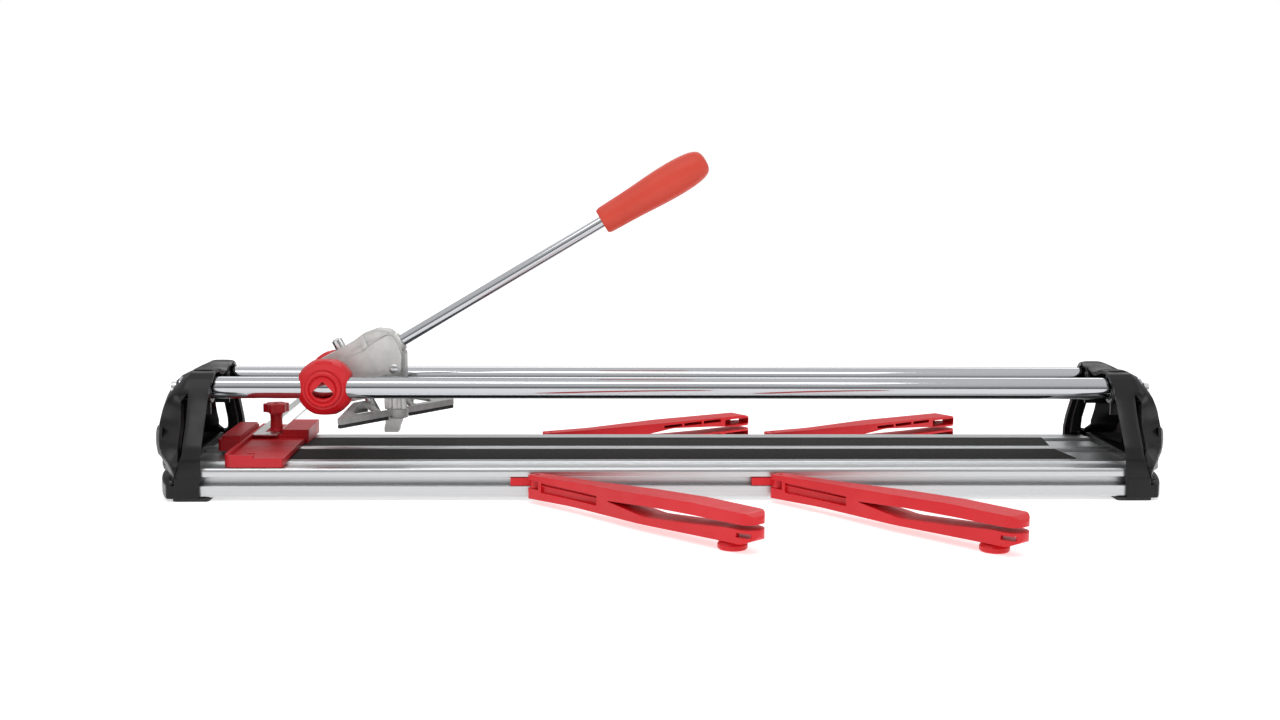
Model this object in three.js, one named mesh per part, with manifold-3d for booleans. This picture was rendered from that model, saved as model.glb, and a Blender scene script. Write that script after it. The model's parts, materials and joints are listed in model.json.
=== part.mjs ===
// Manual tile cutter: an aluminium bed between two moulded towers, two guide rods,
// a sliding carriage with a lever head, scoring wheel and breaker, a measuring stop
// and four swing-out side supports. Millimetres, +Z up, X along the cut,
// origin on the resting plane under the middle of the bed.
import * as THREE from 'three';
import * as BufferGeometryUtils from 'three/addons/utils/BufferGeometryUtils.js';
import Module from 'manifold-3d';

const wasm = await Module();
wasm.setup();

// ---- driving dimensions ----
const GAP = 0.3;                    // clearance between touching pieces
const PIN_PLAY = 0.05;              // play of a small pin in its hole
const ROD_RADIUS = 9;
const ROD_Y = 33.5;
const ROD_Z = 84.4;
const ROD_HALF_LENGTH = 396;
const SCREW_HOLE_RADIUS = 2.6;
const BED_HALF_LENGTH = 385;
const BED_HALF_WIDTH = 81.6;
const BED_BOTTOM = 2.9;
const BED_EDGE_TOP = 26.3;
const BED_RIB_TOP = 28;
const BED_RIB_Y = 60.8;
const BED_WALL = 2.4;
const BED_DECK_BOTTOM = 22.5;
const PAD_FLOOR = 25.5;
const PAD_TOP = 28.5;
const PAD_INNER_Y = 6.5;
const PAD_OUTER_Y = 50;
const PAD_LEFT_X = -298;
const PAD_RIGHT_X = 340;
const RIDGE_HALF_WIDTH = 4.5;
const RIDGE_TOP = 29.5;
const GROOVE_BOTTOM = 12.2;
const GROOVE_TOP = 19.2;
const GROOVE_DEPTH = 10;
const TOWER_INNER_X = 370;
const TOWER_COLLAR_X = 369;
const TOWER_FLOOR_TOP = 33;
const TOWER_HALF_WIDTH = 85;
const TOWER_PLAN_CURVE = 0.003;     // end wall bulge: x = x0 - curve * y * y
const END_WALL = 3.6;
const LEG_WALL = 8;
const COLLAR_RADIUS = 13;
const SOLE_THICKNESS = 2.5;
const STOP_LEFT = -353;
const STOP_RIGHT = -306;
const RULER_TOP = 37;
const RULER_BOTTOM = 35.8;
const RULER_X = -338.9;
const RULER_HALF_WIDTH = 10.7;
const RULER_SLOT_LEFT = -341.7;
const RULER_NEAR_Y = 15.5;
const RULER_FAR_Y = 250;
const KNOB_X = -332.2;
const KNOB_Y = 33;
const STUD_RADIUS = 2.1;
const STOP_BOTTOM = RIDGE_TOP + GAP;
const PIVOT_X = -279;               // head pivot, on the rods' centre height
const DRUM_RADIUS = 22;
const SLIDER_INNER_Y = 20;
const SLIDER_FRONT_Y = 44;
const CAP_FRONT_Y = 47.5;
const HINGE_X = -225;               // breaker hinge pin
const HINGE_Z = 97;
const LEVER_ANGLE = THREE.MathUtils.degToRad(30.9);
const LEVER_RADIUS = 4.9;
const LEVER_BASE = [-238, 108.5];
const WHEEL_X = -239.8;
const WHEEL_Z = 55.5;
const WHEEL_RADIUS = 4.2;
const AXLE_RADIUS = 0.9;
const PIVOT_RADIUS = 5;
const HINGE_RADIUS = 2.8;
const HOLDER_RADIUS = 3;
const SWIVEL_X = -224;
const WINGS_DEGREES = 53.7;
const WING_LENGTH = 69;
const SWIVEL_RADIUS = 5;
const ARM_PIVOT_Y = 90;
const ARM_LENGTH = 231.5;
const ARM_SKIN_Y = 7.6;
const ARM_RIB_PITCH = 24;
const ARM_ROLL_Z = 15.3;
const ARM_FOOT_TOP = 6.2;
const FAR_FOOT_RADIUS = 8;
const FAR_FOOT_TOP = 5;
const ARM_FOOT_AT = 206;
const ARM_PIN_RADIUS = 2;

const COLOURS = {
  black: { color: 0x17181a, roughness: 0.45, metalness: 0 },
  rubber: { color: 0x202022, roughness: 0.8, metalness: 0 },
  red: { color: 0xd81f2a, roughness: 0.35, metalness: 0 },
  darkRed: { color: 0xa01522, roughness: 0.4, metalness: 0 },
  gripRed: { color: 0xd8402f, roughness: 0.5, metalness: 0 },
  aluminium: { color: 0xc9cbcd, roughness: 0.4, metalness: 1 },
  cast: { color: 0xd2d2d0, roughness: 0.5, metalness: 0.8 },
  chrome: { color: 0xdedfe2, roughness: 0.1, metalness: 1 },
  steel: { color: 0xa9abae, roughness: 0.3, metalness: 1 },
  darkGrey: { color: 0x4a4b4d, roughness: 0.6, metalness: 0.4 },
};

// ---- solids ----
const assembly = new THREE.Group();
assembly.name = 'tile_cutter';

function solid(geometry) {
  const bare = geometry.index ? geometry.toNonIndexed() : geometry.clone();
  for (const name of Object.keys(bare.attributes)) {
    if (name !== 'position') bare.deleteAttribute(name);
  }
  const merged = BufferGeometryUtils.mergeVertices(bare, 1e-4);
  return new wasm.Manifold(new wasm.Mesh({
    numProp: 3,
    vertProperties: new Float32Array(merged.attributes.position.array),
    triVerts: new Uint32Array(merged.index.array),
  }));
}

function addPart(name, body, look, parent = assembly) {
  const mesh = body.getMesh();
  const geometry = new THREE.BufferGeometry();
  geometry.setAttribute('position', new THREE.BufferAttribute(mesh.vertProperties, 3));
  geometry.setIndex(new THREE.BufferAttribute(mesh.triVerts, 1));
  geometry.computeVertexNormals();
  const part = new THREE.Mesh(geometry, new THREE.MeshStandardMaterial(COLOURS[look]));
  part.name = name;
  parent.add(part);
  return part;
}

function box(x0, x1, y0, y1, z0, z1) {
  const geometry = new THREE.BoxGeometry(x1 - x0, y1 - y0, z1 - z0);
  return solid(geometry.translate((x0 + x1) / 2, (y0 + y1) / 2, (z0 + z1) / 2));
}

// A closed outline; a point's third number rounds that corner.
function outline(points) {
  const shape = new THREE.Shape();
  const count = points.length;
  points.forEach((point, i) => {
    const corner = new THREE.Vector2(point[0], point[1]);
    const before = new THREE.Vector2(...points[(i + count - 1) % count].slice(0, 2));
    const after = new THREE.Vector2(...points[(i + 1) % count].slice(0, 2));
    const toBefore = before.sub(corner);
    const toAfter = after.sub(corner);
    const reach = Math.min(point[2] || 0, toBefore.length() * 0.48, toAfter.length() * 0.48);
    const start = corner.clone().add(toBefore.setLength(reach));
    const end = corner.clone().add(toAfter.setLength(reach));
    if (i === 0) shape.moveTo(start.x, start.y);
    else shape.lineTo(start.x, start.y);
    if (reach > 0) shape.quadraticCurveTo(corner.x, corner.y, end.x, end.y);
  });
  shape.closePath();
  return shape;
}

function extrude(points, depth, curveSegments = 3) {
  const settings = { depth, bevelEnabled: false, curveSegments };
  return new THREE.ExtrudeGeometry(outline(points), settings);
}

// points are (y, z), swept along X
function prismX(points, x0, x1) {
  const turn = new THREE.Matrix4().makeBasis(
    new THREE.Vector3(0, 1, 0), new THREE.Vector3(0, 0, 1), new THREE.Vector3(1, 0, 0));
  return solid(extrude(points, x1 - x0).applyMatrix4(turn).translate(x0, 0, 0));
}

// points are (x, z), swept along Y
function prismY(points, y0, y1) {
  return solid(extrude(points, y1 - y0).rotateX(Math.PI / 2).translate(0, y1, 0));
}

// points are (x, y), swept along Z
function prismZ(points, z0, z1) {
  return solid(extrude(points, z1 - z0).translate(0, 0, z0));
}

function cylinderX(radius, x0, x1, y, z, sides = 24) {
  const geometry = new THREE.CylinderGeometry(radius, radius, x1 - x0, sides);
  return solid(geometry.rotateZ(Math.PI / 2).translate((x0 + x1) / 2, y, z));
}

function cylinderY(radius, y0, y1, x, z, sides = 24) {
  const geometry = new THREE.CylinderGeometry(radius, radius, y1 - y0, sides);
  return solid(geometry.translate(x, (y0 + y1) / 2, z));
}

function cylinderZ(radius, z0, z1, x, y, sides = 20) {
  const geometry = new THREE.CylinderGeometry(radius, radius, z1 - z0, sides);
  return solid(geometry.rotateX(Math.PI / 2).translate(x, y, (z0 + z1) / 2));
}

// A turned body: profile points are (radius, height) and the axis runs up from the base point.
function turned(profile, base, direction, sides = 24) {
  const geometry = new THREE.LatheGeometry(profile.map(([r, h]) => new THREE.Vector2(r, h)), sides);
  const turn = new THREE.Quaternion().setFromUnitVectors(
    new THREE.Vector3(0, 1, 0), new THREE.Vector3(...direction).normalize());
  return solid(geometry.applyQuaternion(turn).translate(...base));
}

// A closed skin over rings of equal point count, counter-clockwise seen from above, bottom ring first.
function loft(rings) {
  const count = rings[0].length;
  const positions = rings.flat(2);
  const faces = [];
  rings.slice(1).forEach((ring, level) => {
    for (let i = 0; i < count; i += 1) {
      const j = (i + 1) % count;
      const a = level * count + i;
      const b = level * count + j;
      faces.push(a, b, b + count, a, b + count, a + count);
    }
  });
  const top = (rings.length - 1) * count;
  for (let i = 1; i < count - 1; i += 1) {
    faces.push(0, i + 1, i);
    faces.push(top, top + i, top + i + 1);
  }
  const geometry = new THREE.BufferGeometry();
  geometry.setAttribute('position', new THREE.Float32BufferAttribute(positions, 3));
  geometry.setIndex(faces);
  return solid(geometry);
}

function joined(...bodies) {
  return bodies.reduce((sum, body) => sum.add(body));
}

function cut(body, ...tools) {
  return tools.reduce((rest, tool) => rest.subtract(tool), body);
}

function mirrorX(body) {
  return body.mirror([1, 0, 0]);
}

function mirrorY(body) {
  return body.mirror([0, 1, 0]);
}

// ---- bed ----
function bedSection() {
  const half = [
    [RIDGE_HALF_WIDTH + GAP, PAD_FLOOR], [PAD_OUTER_Y + GAP, PAD_FLOOR],
    [PAD_OUTER_Y + GAP, BED_RIB_TOP, 0.8], [60, BED_RIB_TOP, 0.8], [BED_RIB_Y, BED_EDGE_TOP],
    [BED_HALF_WIDTH, BED_EDGE_TOP, 3], [BED_HALF_WIDTH, GROOVE_TOP, 0.6],
    [BED_HALF_WIDTH - GROOVE_DEPTH, GROOVE_TOP], [BED_HALF_WIDTH - GROOVE_DEPTH, GROOVE_BOTTOM],
    [BED_HALF_WIDTH, GROOVE_BOTTOM, 0.6], [BED_HALF_WIDTH, BED_BOTTOM, 1],
    [BED_HALF_WIDTH - BED_WALL, BED_BOTTOM], [BED_HALF_WIDTH - BED_WALL, GROOVE_BOTTOM - 2.2],
    [BED_HALF_WIDTH - GROOVE_DEPTH - BED_WALL, GROOVE_BOTTOM - 2.2],
    [BED_HALF_WIDTH - GROOVE_DEPTH - BED_WALL, BED_DECK_BOTTOM],
  ];
  for (const web of [46, 17]) {
    half.push([web, BED_DECK_BOTTOM], [web, BED_BOTTOM], [web - BED_WALL, BED_BOTTOM]);
    half.push([web - BED_WALL, web > 20 ? BED_DECK_BOTTOM : 12]);
  }
  const other = half.map(([y, z, r]) => [-y, z, r || 0]).reverse();
  return [...other, ...half].reverse();
}

function makeBed() {
  const ridgeSlot = box(-BED_HALF_LENGTH - 1, BED_HALF_LENGTH + 1,
    -RIDGE_HALF_WIDTH - GAP, RIDGE_HALF_WIDTH + GAP, PAD_FLOOR - 2, PAD_TOP);
  const bed = cut(prismX(bedSection(), -BED_HALF_LENGTH, BED_HALF_LENGTH), ridgeSlot);
  addPart('base_profile', bed, 'aluminium');

  const ridge = [
    [RIDGE_HALF_WIDTH, PAD_FLOOR - 1.7], [RIDGE_HALF_WIDTH, RIDGE_TOP - 1, 0.8],
    [2, RIDGE_TOP], [-2, RIDGE_TOP], [-RIDGE_HALF_WIDTH, RIDGE_TOP - 1, 0.8],
    [-RIDGE_HALF_WIDTH, PAD_FLOOR - 1.7],
  ];
  addPart('breaking_ridge', prismX(ridge, -BED_HALF_LENGTH, BED_HALF_LENGTH - 0.2), 'aluminium');

  const chamfer = 13;
  const pad = [
    [PAD_LEFT_X, PAD_INNER_Y], [PAD_RIGHT_X - chamfer * 0.4, PAD_INNER_Y],
    [PAD_RIGHT_X, PAD_OUTER_Y - 4], [PAD_RIGHT_X, PAD_OUTER_Y], [PAD_LEFT_X, PAD_OUTER_Y],
  ];
  const farPad = prismZ(pad, PAD_FLOOR + GAP, PAD_TOP);
  addPart('pad_far', farPad, 'rubber');
  addPart('pad_near', mirrorY(farPad), 'rubber');

  const foot = joined(box(-30, 30, -14, 14, 0, 9.5), box(-34, 34, -18.5, 18.5, 0, BED_BOTTOM - GAP));
  addPart('centre_foot', foot, 'rubber');
}

// ---- towers ----
// Each level: height, bulge of the end wall at mid width, half width across the legs.
const TOWER_LEVELS = [
  [SOLE_THICKNESS + 0.2, 416, 85], [12.5, 416.4, 85], [17, 410.5, 85], [24, 413.5, 85],
  [32, 417.5, 84.5], [43, 418.5, 80], [54, 417.8, 72], [66, 414.8, 63],
  [77, 411, 55], [86, 406, 49.5], [93, 398, 45], [98, 384, 36],
];

function towerRing(z, bulge, halfWidth, innerX, corner) {
  const steps = 8;
  const ring = [];
  for (let i = 0; i <= steps; i += 1) {
    const s = Math.sin(Math.PI * (i / steps - 0.5));
    const y = halfWidth * s;
    ring.push([bulge - TOWER_PLAN_CURVE * y * y - corner * s ** 12, y, z]);
  }
  ring.push([innerX, halfWidth, z], [innerX, -halfWidth, z]);
  return ring;
}

function towerShell(grow) {
  const rings = TOWER_LEVELS.map(([z, bulge, half]) => {
    const inner = z > 85 ? TOWER_COLLAR_X : TOWER_INNER_X;
    return towerRing(z, bulge + grow, half + grow, inner, 6);
  });
  return loft(rings);
}

function windowOutline() {
  return [
    [394.5, 29.5], [398, 40, 6], [398, 56, 8], [399.5, 68, 6], [398, 79, 2], [392.5, 72, 6],
    [389.5, 60, 8], [388.5, 46, 8],
  ];
}

function makeTower(side) {
  const outer = towerShell(0);
  const cavityLevels = TOWER_LEVELS.filter(([z]) => z > TOWER_FLOOR_TOP && z < 93)
    .map(([z, bulge, half]) => [Math.min(z, 88.5), bulge, half]);
  cavityLevels.unshift([TOWER_FLOOR_TOP, 417.5, 84]);
  const rings = cavityLevels.map(([z, bulge, half]) =>
    towerRing(z, bulge - END_WALL, half - LEG_WALL, 355, 4));
  const cavity = loft(rings);

  const floorCut = prismZ(
    [[350, -72], [371, -72], [383, -45], [383, 45], [371, 72], [350, 72]],
    BED_EDGE_TOP - 2, TOWER_FLOOR_TOP + 1);
  const bedPocket = joined(
    box(350, BED_HALF_LENGTH + GAP, -BED_HALF_WIDTH - GAP, BED_HALF_WIDTH + GAP,
      -1, BED_EDGE_TOP + GAP),
    box(350, BED_HALF_LENGTH + GAP, -BED_RIB_Y - GAP, BED_RIB_Y + GAP, 20, RIDGE_TOP + GAP));
  const ledge = box(386, 391, -62, 62, TOWER_FLOOR_TOP - 2, 40);
  const ribs = [-21, 21].map((y) => box(404, 420, y - 1.5, y + 1.5, TOWER_FLOOR_TOP - 2, 90));
  const braces = [-50, 50].map((y) => box(396, 420, y - 1.5, y + 1.5, TOWER_FLOOR_TOP - 2, 48));
  let tower = joined(cut(outer, cavity), joined(ledge, ...ribs, ...braces).intersect(outer));
  for (const y of [-ROD_Y, ROD_Y]) {
    const boss = joined(
      cylinderX(COLLAR_RADIUS, TOWER_COLLAR_X, 407, y, ROD_Z, 20),
      cylinderX(COLLAR_RADIUS + 0.9, TOWER_COLLAR_X, TOWER_COLLAR_X + 3, y, ROD_Z, 20));
    const gusset = box(371, 407, y - 2, y + 2, ROD_Z - 15, ROD_Z);
    tower = tower.add(boss).add(gusset.intersect(outer));
  }
  const headWay = box(350, 378, -19, 19, 60, 110);
  tower = cut(tower, floorCut, bedPocket, headWay, prismY(windowOutline(), -100, 100));
  for (const y of [-ROD_Y, ROD_Y]) {
    tower = cut(tower,
      cylinderX(ROD_RADIUS + GAP, 350, ROD_HALF_LENGTH + GAP, y, ROD_Z),
      cylinderX(SCREW_HOLE_RADIUS, 380, 430, y, ROD_Z, 12),
      cylinderX(6.2, 402, 430, y, ROD_Z, 16));
  }
  const name = side > 0 ? 'right' : 'left';
  addPart(`tower_${name}`, side > 0 ? tower : mirrorX(tower), 'black');

  const bumperLevels = [
    [28, 415.8, 71], [31, 417.2, 72.5], [42, 418.5, 72], [50, 418.2, 68], [54, 417.8, 64],
  ];
  const band = (grow) => loft(bumperLevels.map(([z, bulge, half]) =>
    towerRing(z, bulge + grow * (z === 28 || z === 54 ? 0.6 : 1), half - 3 + grow, 380, 0)));
  const bumper = cut(band(2.2), towerShell(GAP));
  const plate = bumper.intersect(box(400, 430, -62, 62, 20, 60));
  addPart(`bumper_${name}`, side > 0 ? plate : mirrorX(plate), 'black');

  for (const [where, y] of [['near', -ROD_Y], ['far', ROD_Y]]) {
    const screw = turned(
      [[0, 0], [2.3, 0], [2.3, 5.4], [5.2, 5.4], [5.2, 8.6], [4.4, 9.4], [2.4, 9.4],
        [2.4, 7.4], [0, 7.4]],
      [ROD_HALF_LENGTH + 0.6 + GAP, y, ROD_Z], [1, 0, 0], 10);
    addPart(`rod_screw_${name}_${where}`, side > 0 ? screw : mirrorX(screw), 'steel');
    const sign = Math.sign(y);
    const x0 = TOWER_INNER_X - 6;
    const sole = prismZ(
      [[x0, 52 * sign, 3], [x0, 84 * sign, 3], [392, 84 * sign, 4], [399, 52 * sign, 4]],
      0, SOLE_THICKNESS);
    addPart(`sole_${name}_${where}`, side > 0 ? sole : mirrorX(sole), 'rubber');
  }
}

// ---- guide rods ----
function makeRods() {
  for (const [where, y] of [['near', -ROD_Y], ['far', ROD_Y]]) {
    const rod = cut(
      cylinderX(ROD_RADIUS, -ROD_HALF_LENGTH, ROD_HALF_LENGTH, y, ROD_Z),
      cylinderX(SCREW_HOLE_RADIUS, ROD_HALF_LENGTH - 12, ROD_HALF_LENGTH + 1, y, ROD_Z, 12),
      cylinderX(SCREW_HOLE_RADIUS, -ROD_HALF_LENGTH - 1, 12 - ROD_HALF_LENGTH, y, ROD_Z, 12));
    addPart(`guide_rod_${where}`, rod, 'chrome');
  }
}

// ---- measuring stop ----
function makeStop() {
  const base = joined(
    prismZ([[STOP_LEFT, -80, 9], [STOP_RIGHT, -80, 1.5], [STOP_RIGHT, 22], [STOP_LEFT, 22]],
      BED_RIB_TOP + GAP, 33.2),
    prismZ([[STOP_LEFT, 22], [STOP_RIGHT, 22], [STOP_RIGHT + 3, 22], [STOP_RIGHT + 3, 78, 2],
      [STOP_LEFT, 78, 2]], BED_RIB_TOP + GAP, 35.4),
    box(KNOB_X + 6.6, STOP_RIGHT + 3, 22, 78, 33, 40),
    prismZ([[STOP_LEFT, -80, 9], [STOP_LEFT + 22, -80], [STOP_LEFT + 22, -76], [STOP_LEFT + 3, -76, 7],
      [STOP_LEFT + 3, 78], [STOP_LEFT, 78]], 33, 36.6),
    prismZ([[STOP_LEFT + 22, -80], [STOP_RIGHT, -80, 1.5], [STOP_RIGHT, -76], [STOP_LEFT + 22, -76]],
      33, 34.4),
    box(STOP_LEFT, STOP_RIGHT, -80, -62, BED_EDGE_TOP + GAP, 30));
  const recess = joined(
    box(-400, -280, -RIDGE_HALF_WIDTH - GAP, RIDGE_HALF_WIDTH + GAP, 20, STOP_BOTTOM),
    box(-400, -280, -PAD_OUTER_Y - GAP, PAD_OUTER_Y + GAP, 20, PAD_TOP + GAP),
    box(-400, -280, -BED_RIB_Y - GAP, BED_RIB_Y + GAP, 20, BED_RIB_TOP + GAP));
  const plate = cut(base, recess, cylinderZ(STUD_RADIUS + GAP, 20, 50, KNOB_X, KNOB_Y, 16));
  addPart('stop_plate', plate, 'darkRed');

  const block = joined(
    prismZ([[-371, -18, 2], [STOP_LEFT - GAP, -18], [STOP_LEFT - GAP, 64], [-371, 64, 2]],
      PAD_TOP + GAP, 38.5),
    prismZ([[-368.5, -15], [STOP_LEFT - GAP, -15], [STOP_LEFT - GAP, 58], [-368.5, 58]], 38, 41));
  const recessBlock = box(-400, -280, -RIDGE_HALF_WIDTH - GAP, RIDGE_HALF_WIDTH + GAP,
    20, STOP_BOTTOM);
  const lower = box(-400, -280, PAD_OUTER_Y + GAP, 70, 20, BED_RIB_TOP + GAP);
  addPart('stop_block', cut(block, recessBlock, lower), 'darkRed');

  const ruler = prismZ([
    [RULER_X - RULER_HALF_WIDTH, RULER_NEAR_Y, 1.5], [RULER_X + RULER_HALF_WIDTH, RULER_NEAR_Y, 1.5],
    [RULER_X + RULER_HALF_WIDTH, RULER_FAR_Y, 1.5], [RULER_X - RULER_HALF_WIDTH, RULER_FAR_Y, 1.5],
  ], RULER_BOTTOM, RULER_TOP);
  const slotRight = KNOB_X + STUD_RADIUS + GAP;
  const slot = prismZ([
    [RULER_SLOT_LEFT, KNOB_Y - 4, 2.5], [slotRight, KNOB_Y - 4, 2.5],
    [slotRight, RULER_FAR_Y - 12, 2.5], [RULER_SLOT_LEFT, RULER_FAR_Y - 12, 2.5],
  ], 30, 40);
  addPart('ruler', cut(ruler, slot), 'steel');

  const lobes = [];
  for (let i = 0; i < 6; i += 1) {
    const angle = (i * Math.PI) / 3 + 0.3;
    lobes.push(cylinderZ(4, 54.2, 61.2, KNOB_X + 7 * Math.cos(angle), KNOB_Y + 7 * Math.sin(angle), 12));
  }
  const stem = turned(
    [[0, 0], [6, 0], [5.2, 2.5], [5.2, 15], [6.2, 16.4], [8.6, 17.2], [8.6, 23.6], [7, 24.5], [0, 24.5]],
    [KNOB_X, KNOB_Y, RULER_TOP + GAP], [0, 0, 1], 20);
  const bore = cylinderZ(STUD_RADIUS + GAP, 30, 50, KNOB_X, KNOB_Y, 12);
  addPart('clamp_knob', cut(joined(stem, ...lobes), bore), 'darkRed');
  const stud = cylinderZ(STUD_RADIUS, STOP_BOTTOM, 49.5, KNOB_X, KNOB_Y, 12);
  addPart('clamp_stud', stud, 'steel');
}

// ---- carriage ----
function makeSlider(where, sign) {
  const drum = turned([
    [0, SLIDER_INNER_Y], [19, SLIDER_INNER_Y], [DRUM_RADIUS, SLIDER_INNER_Y + 2.5], [DRUM_RADIUS, 33],
    [21.2, 38], [18.6, SLIDER_FRONT_Y], [0, SLIDER_FRONT_Y],
  ], [PIVOT_X, 0, ROD_Z], [0, 1, 0], 26);
  const shoulder = prismY([
    [PIVOT_X - 21.5, 68, 6], [PIVOT_X + 21.5, 68, 6], [PIVOT_X + 21.5, 99, 9],
    [PIVOT_X + 9, 107, 6], [PIVOT_X - 8, 106.5, 8], [PIVOT_X - 21.5, 95, 6],
  ], SLIDER_INNER_Y + 0.5, 36);
  const body = cut(joined(drum, shoulder),
    cylinderX(ROD_RADIUS + GAP, PIVOT_X - 60, PIVOT_X + 60, ROD_Y, ROD_Z),
    cylinderY(15.2, SLIDER_FRONT_Y - 0.9, SLIDER_FRONT_Y + 9, PIVOT_X, ROD_Z, 24),
    cylinderY(PIVOT_RADIUS + GAP, 0, SLIDER_INNER_Y + 3.4, PIVOT_X, ROD_Z));
  const cap = cut(turned([
    [0, SLIDER_FRONT_Y - 0.9 + GAP], [14.8, SLIDER_FRONT_Y - 0.9 + GAP], [14.8, CAP_FRONT_Y - 1.2],
    [13.6, CAP_FRONT_Y], [11.4, CAP_FRONT_Y], [10.8, CAP_FRONT_Y - 0.8], [0, CAP_FRONT_Y - 0.8],
  ], [PIVOT_X, 0, ROD_Z], [0, 1, 0], 24),
  prismY([[PIVOT_X - 9.2, 81], [PIVOT_X + 9.2, 81], [PIVOT_X, 91]], 30, 60));
  const window = prismY([[PIVOT_X - 9.2, 81], [PIVOT_X + 9.2, 81], [PIVOT_X, 91]], ROD_Y, 60);
  const housing = cut(body, window);
  addPart(`slider_${where}`, sign > 0 ? housing : mirrorY(housing), 'red');
  addPart(`slider_cap_${where}`, sign > 0 ? cap : mirrorY(cap), 'red');
}

function alongLever(distance) {
  return [LEVER_BASE[0] + distance * Math.cos(LEVER_ANGLE), 0,
    LEVER_BASE[1] + distance * Math.sin(LEVER_ANGLE)];
}

const LEVER_DIRECTION = [Math.cos(LEVER_ANGLE), 0, Math.sin(LEVER_ANGLE)];
const HOLDER_TOP = [-271.8, 115.1];
const HOLDER_TURN = Math.atan2(WHEEL_X - HOLDER_TOP[0], HOLDER_TOP[1] - WHEEL_Z);
const HOLDER_DIRECTION = [Math.sin(HOLDER_TURN), 0, -Math.cos(HOLDER_TURN)];

function makeHead() {
  const cheek = prismY([
    [-292, 100.5, 8], [-262, 117.8, 6], [-250, 126.5, 6], [-240, 130, 5], [-228, 129, 5],
    [-221, 121, 3], [-218.5, 109, 2], [-218.8, 92, 5], [-231, 90.3, 4], [-238, 88],
    [-240, 72, 4], [-262, 68, 5], [-290, 80, 8],
  ], -13, 13);
  const hub = cylinderY(16, -SLIDER_INNER_Y + 0.7, SLIDER_INNER_Y - 0.7, PIVOT_X, ROD_Z, 28);
  const socket = turned([[0, 0], [11, 0], [8.2, 22.5], [7.6, 23.4], [0, 23.4]],
    alongLever(-2), LEVER_DIRECTION, 20);
  const bossLength = 12;
  const holderBoss = turned([[0, 0], [7.5, 0], [7.5, bossLength], [0, bossLength]],
    [HOLDER_TOP[0] + 36 * HOLDER_DIRECTION[0], 0, HOLDER_TOP[1] + 36 * HOLDER_DIRECTION[2]],
    HOLDER_DIRECTION, 16);
  const fork = box(HINGE_X - 13, HINGE_X + 8, -7, 7, 60, HINGE_Z + 9);
  const head = cut(joined(cheek, hub, socket, holderBoss),
    cylinderY(PIVOT_RADIUS + GAP, -30, 30, PIVOT_X, ROD_Z),
    turned([[0, 0], [LEVER_RADIUS + GAP, 0], [LEVER_RADIUS + GAP, 60], [0, 60]],
      alongLever(0), LEVER_DIRECTION),
    turned([[0, -20], [HOLDER_RADIUS + GAP, -20], [HOLDER_RADIUS + GAP, 70], [0, 70]],
      [HOLDER_TOP[0], 0, HOLDER_TOP[1]], HOLDER_DIRECTION, 16),
    cylinderY(HINGE_RADIUS + GAP, -30, 30, HINGE_X, HINGE_Z, 16),
    fork,
    box(-250, -200, -30, 30, 50, 71));
  addPart('head_casting', head, 'cast');

  addPart('pivot_shaft',
    cylinderY(PIVOT_RADIUS, -SLIDER_INNER_Y - 3, SLIDER_INNER_Y + 3, PIVOT_X, ROD_Z), 'steel');
  const lever = turned([[0, 0], [LEVER_RADIUS, 0], [LEVER_RADIUS, 300], [0, 300]],
    alongLever(0.4), LEVER_DIRECTION);
  addPart('lever_tube', lever, 'chrome');

  const gripStart = 216.5;
  const grip = cut(turned([
    [0, 0], [11, 0], [11.6, 1.2], [11.8, 10], [12.2, 24], [13.2, 42], [14.2, 58], [14.4, 70],
    [13.8, 82], [12.5, 91], [10, 96.5], [6, 99], [0, 100],
  ], alongLever(gripStart), LEVER_DIRECTION, 18),
  turned([[0, -5], [LEVER_RADIUS + GAP, -5], [LEVER_RADIUS + GAP, 300.8 - gripStart],
    [0, 300.8 - gripStart]], alongLever(gripStart), LEVER_DIRECTION));
  addPart('handle_grip', grip, 'gripRed');

  const holderLength = Math.hypot(WHEEL_X - HOLDER_TOP[0], HOLDER_TOP[1] - WHEEL_Z);
  const bolt = turned([
    [0, -6.5], [2.2, -6.5], [3, -5.6], [HOLDER_RADIUS, -5], [HOLDER_RADIUS, holderLength - 6],
    [3.6, holderLength - 5], [3.6, holderLength + 1.5], [2.4, holderLength + 2.6],
    [0, holderLength + 2.6],
  ], [HOLDER_TOP[0], 0, HOLDER_TOP[1]], HOLDER_DIRECTION, 16);
  const wheelSlot = box(WHEEL_X - 10, WHEEL_X + 10, -1.1, 1.1, 40, WHEEL_Z + 4.6);
  const axleHole = cylinderY(AXLE_RADIUS + GAP, -10, 10, WHEEL_X, WHEEL_Z, 10);
  addPart('wheel_holder', cut(bolt, wheelSlot, axleHole), 'steel');
  const nut = cut(turned([[0, -5.2], [5.6, -5.2], [6, -4.6], [6, -0.9], [5.6, -0.3], [0, -0.3]],
    [HOLDER_TOP[0], 0, HOLDER_TOP[1]], HOLDER_DIRECTION, 18),
  turned([[0, -20], [HOLDER_RADIUS + GAP, -20], [HOLDER_RADIUS + GAP, 20], [0, 20]],
    [HOLDER_TOP[0], 0, HOLDER_TOP[1]], HOLDER_DIRECTION, 16));
  addPart('holder_nut', cut(nut, head), 'steel');
  const disc = turned([[0, -0.8], [3.4, -0.8], [WHEEL_RADIUS, 0], [3.4, 0.8], [0, 0.8]],
    [WHEEL_X, 0, WHEEL_Z], [0, 1, 0], 24);
  const wheel = cut(disc, cylinderY(AXLE_RADIUS + PIN_PLAY, -10, 10, WHEEL_X, WHEEL_Z, 10));
  addPart('scoring_wheel', wheel, 'steel');
  addPart('wheel_axle', cylinderY(AXLE_RADIUS, -3.4, 3.4, WHEEL_X, WHEEL_Z, 10), 'steel');
}

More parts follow.
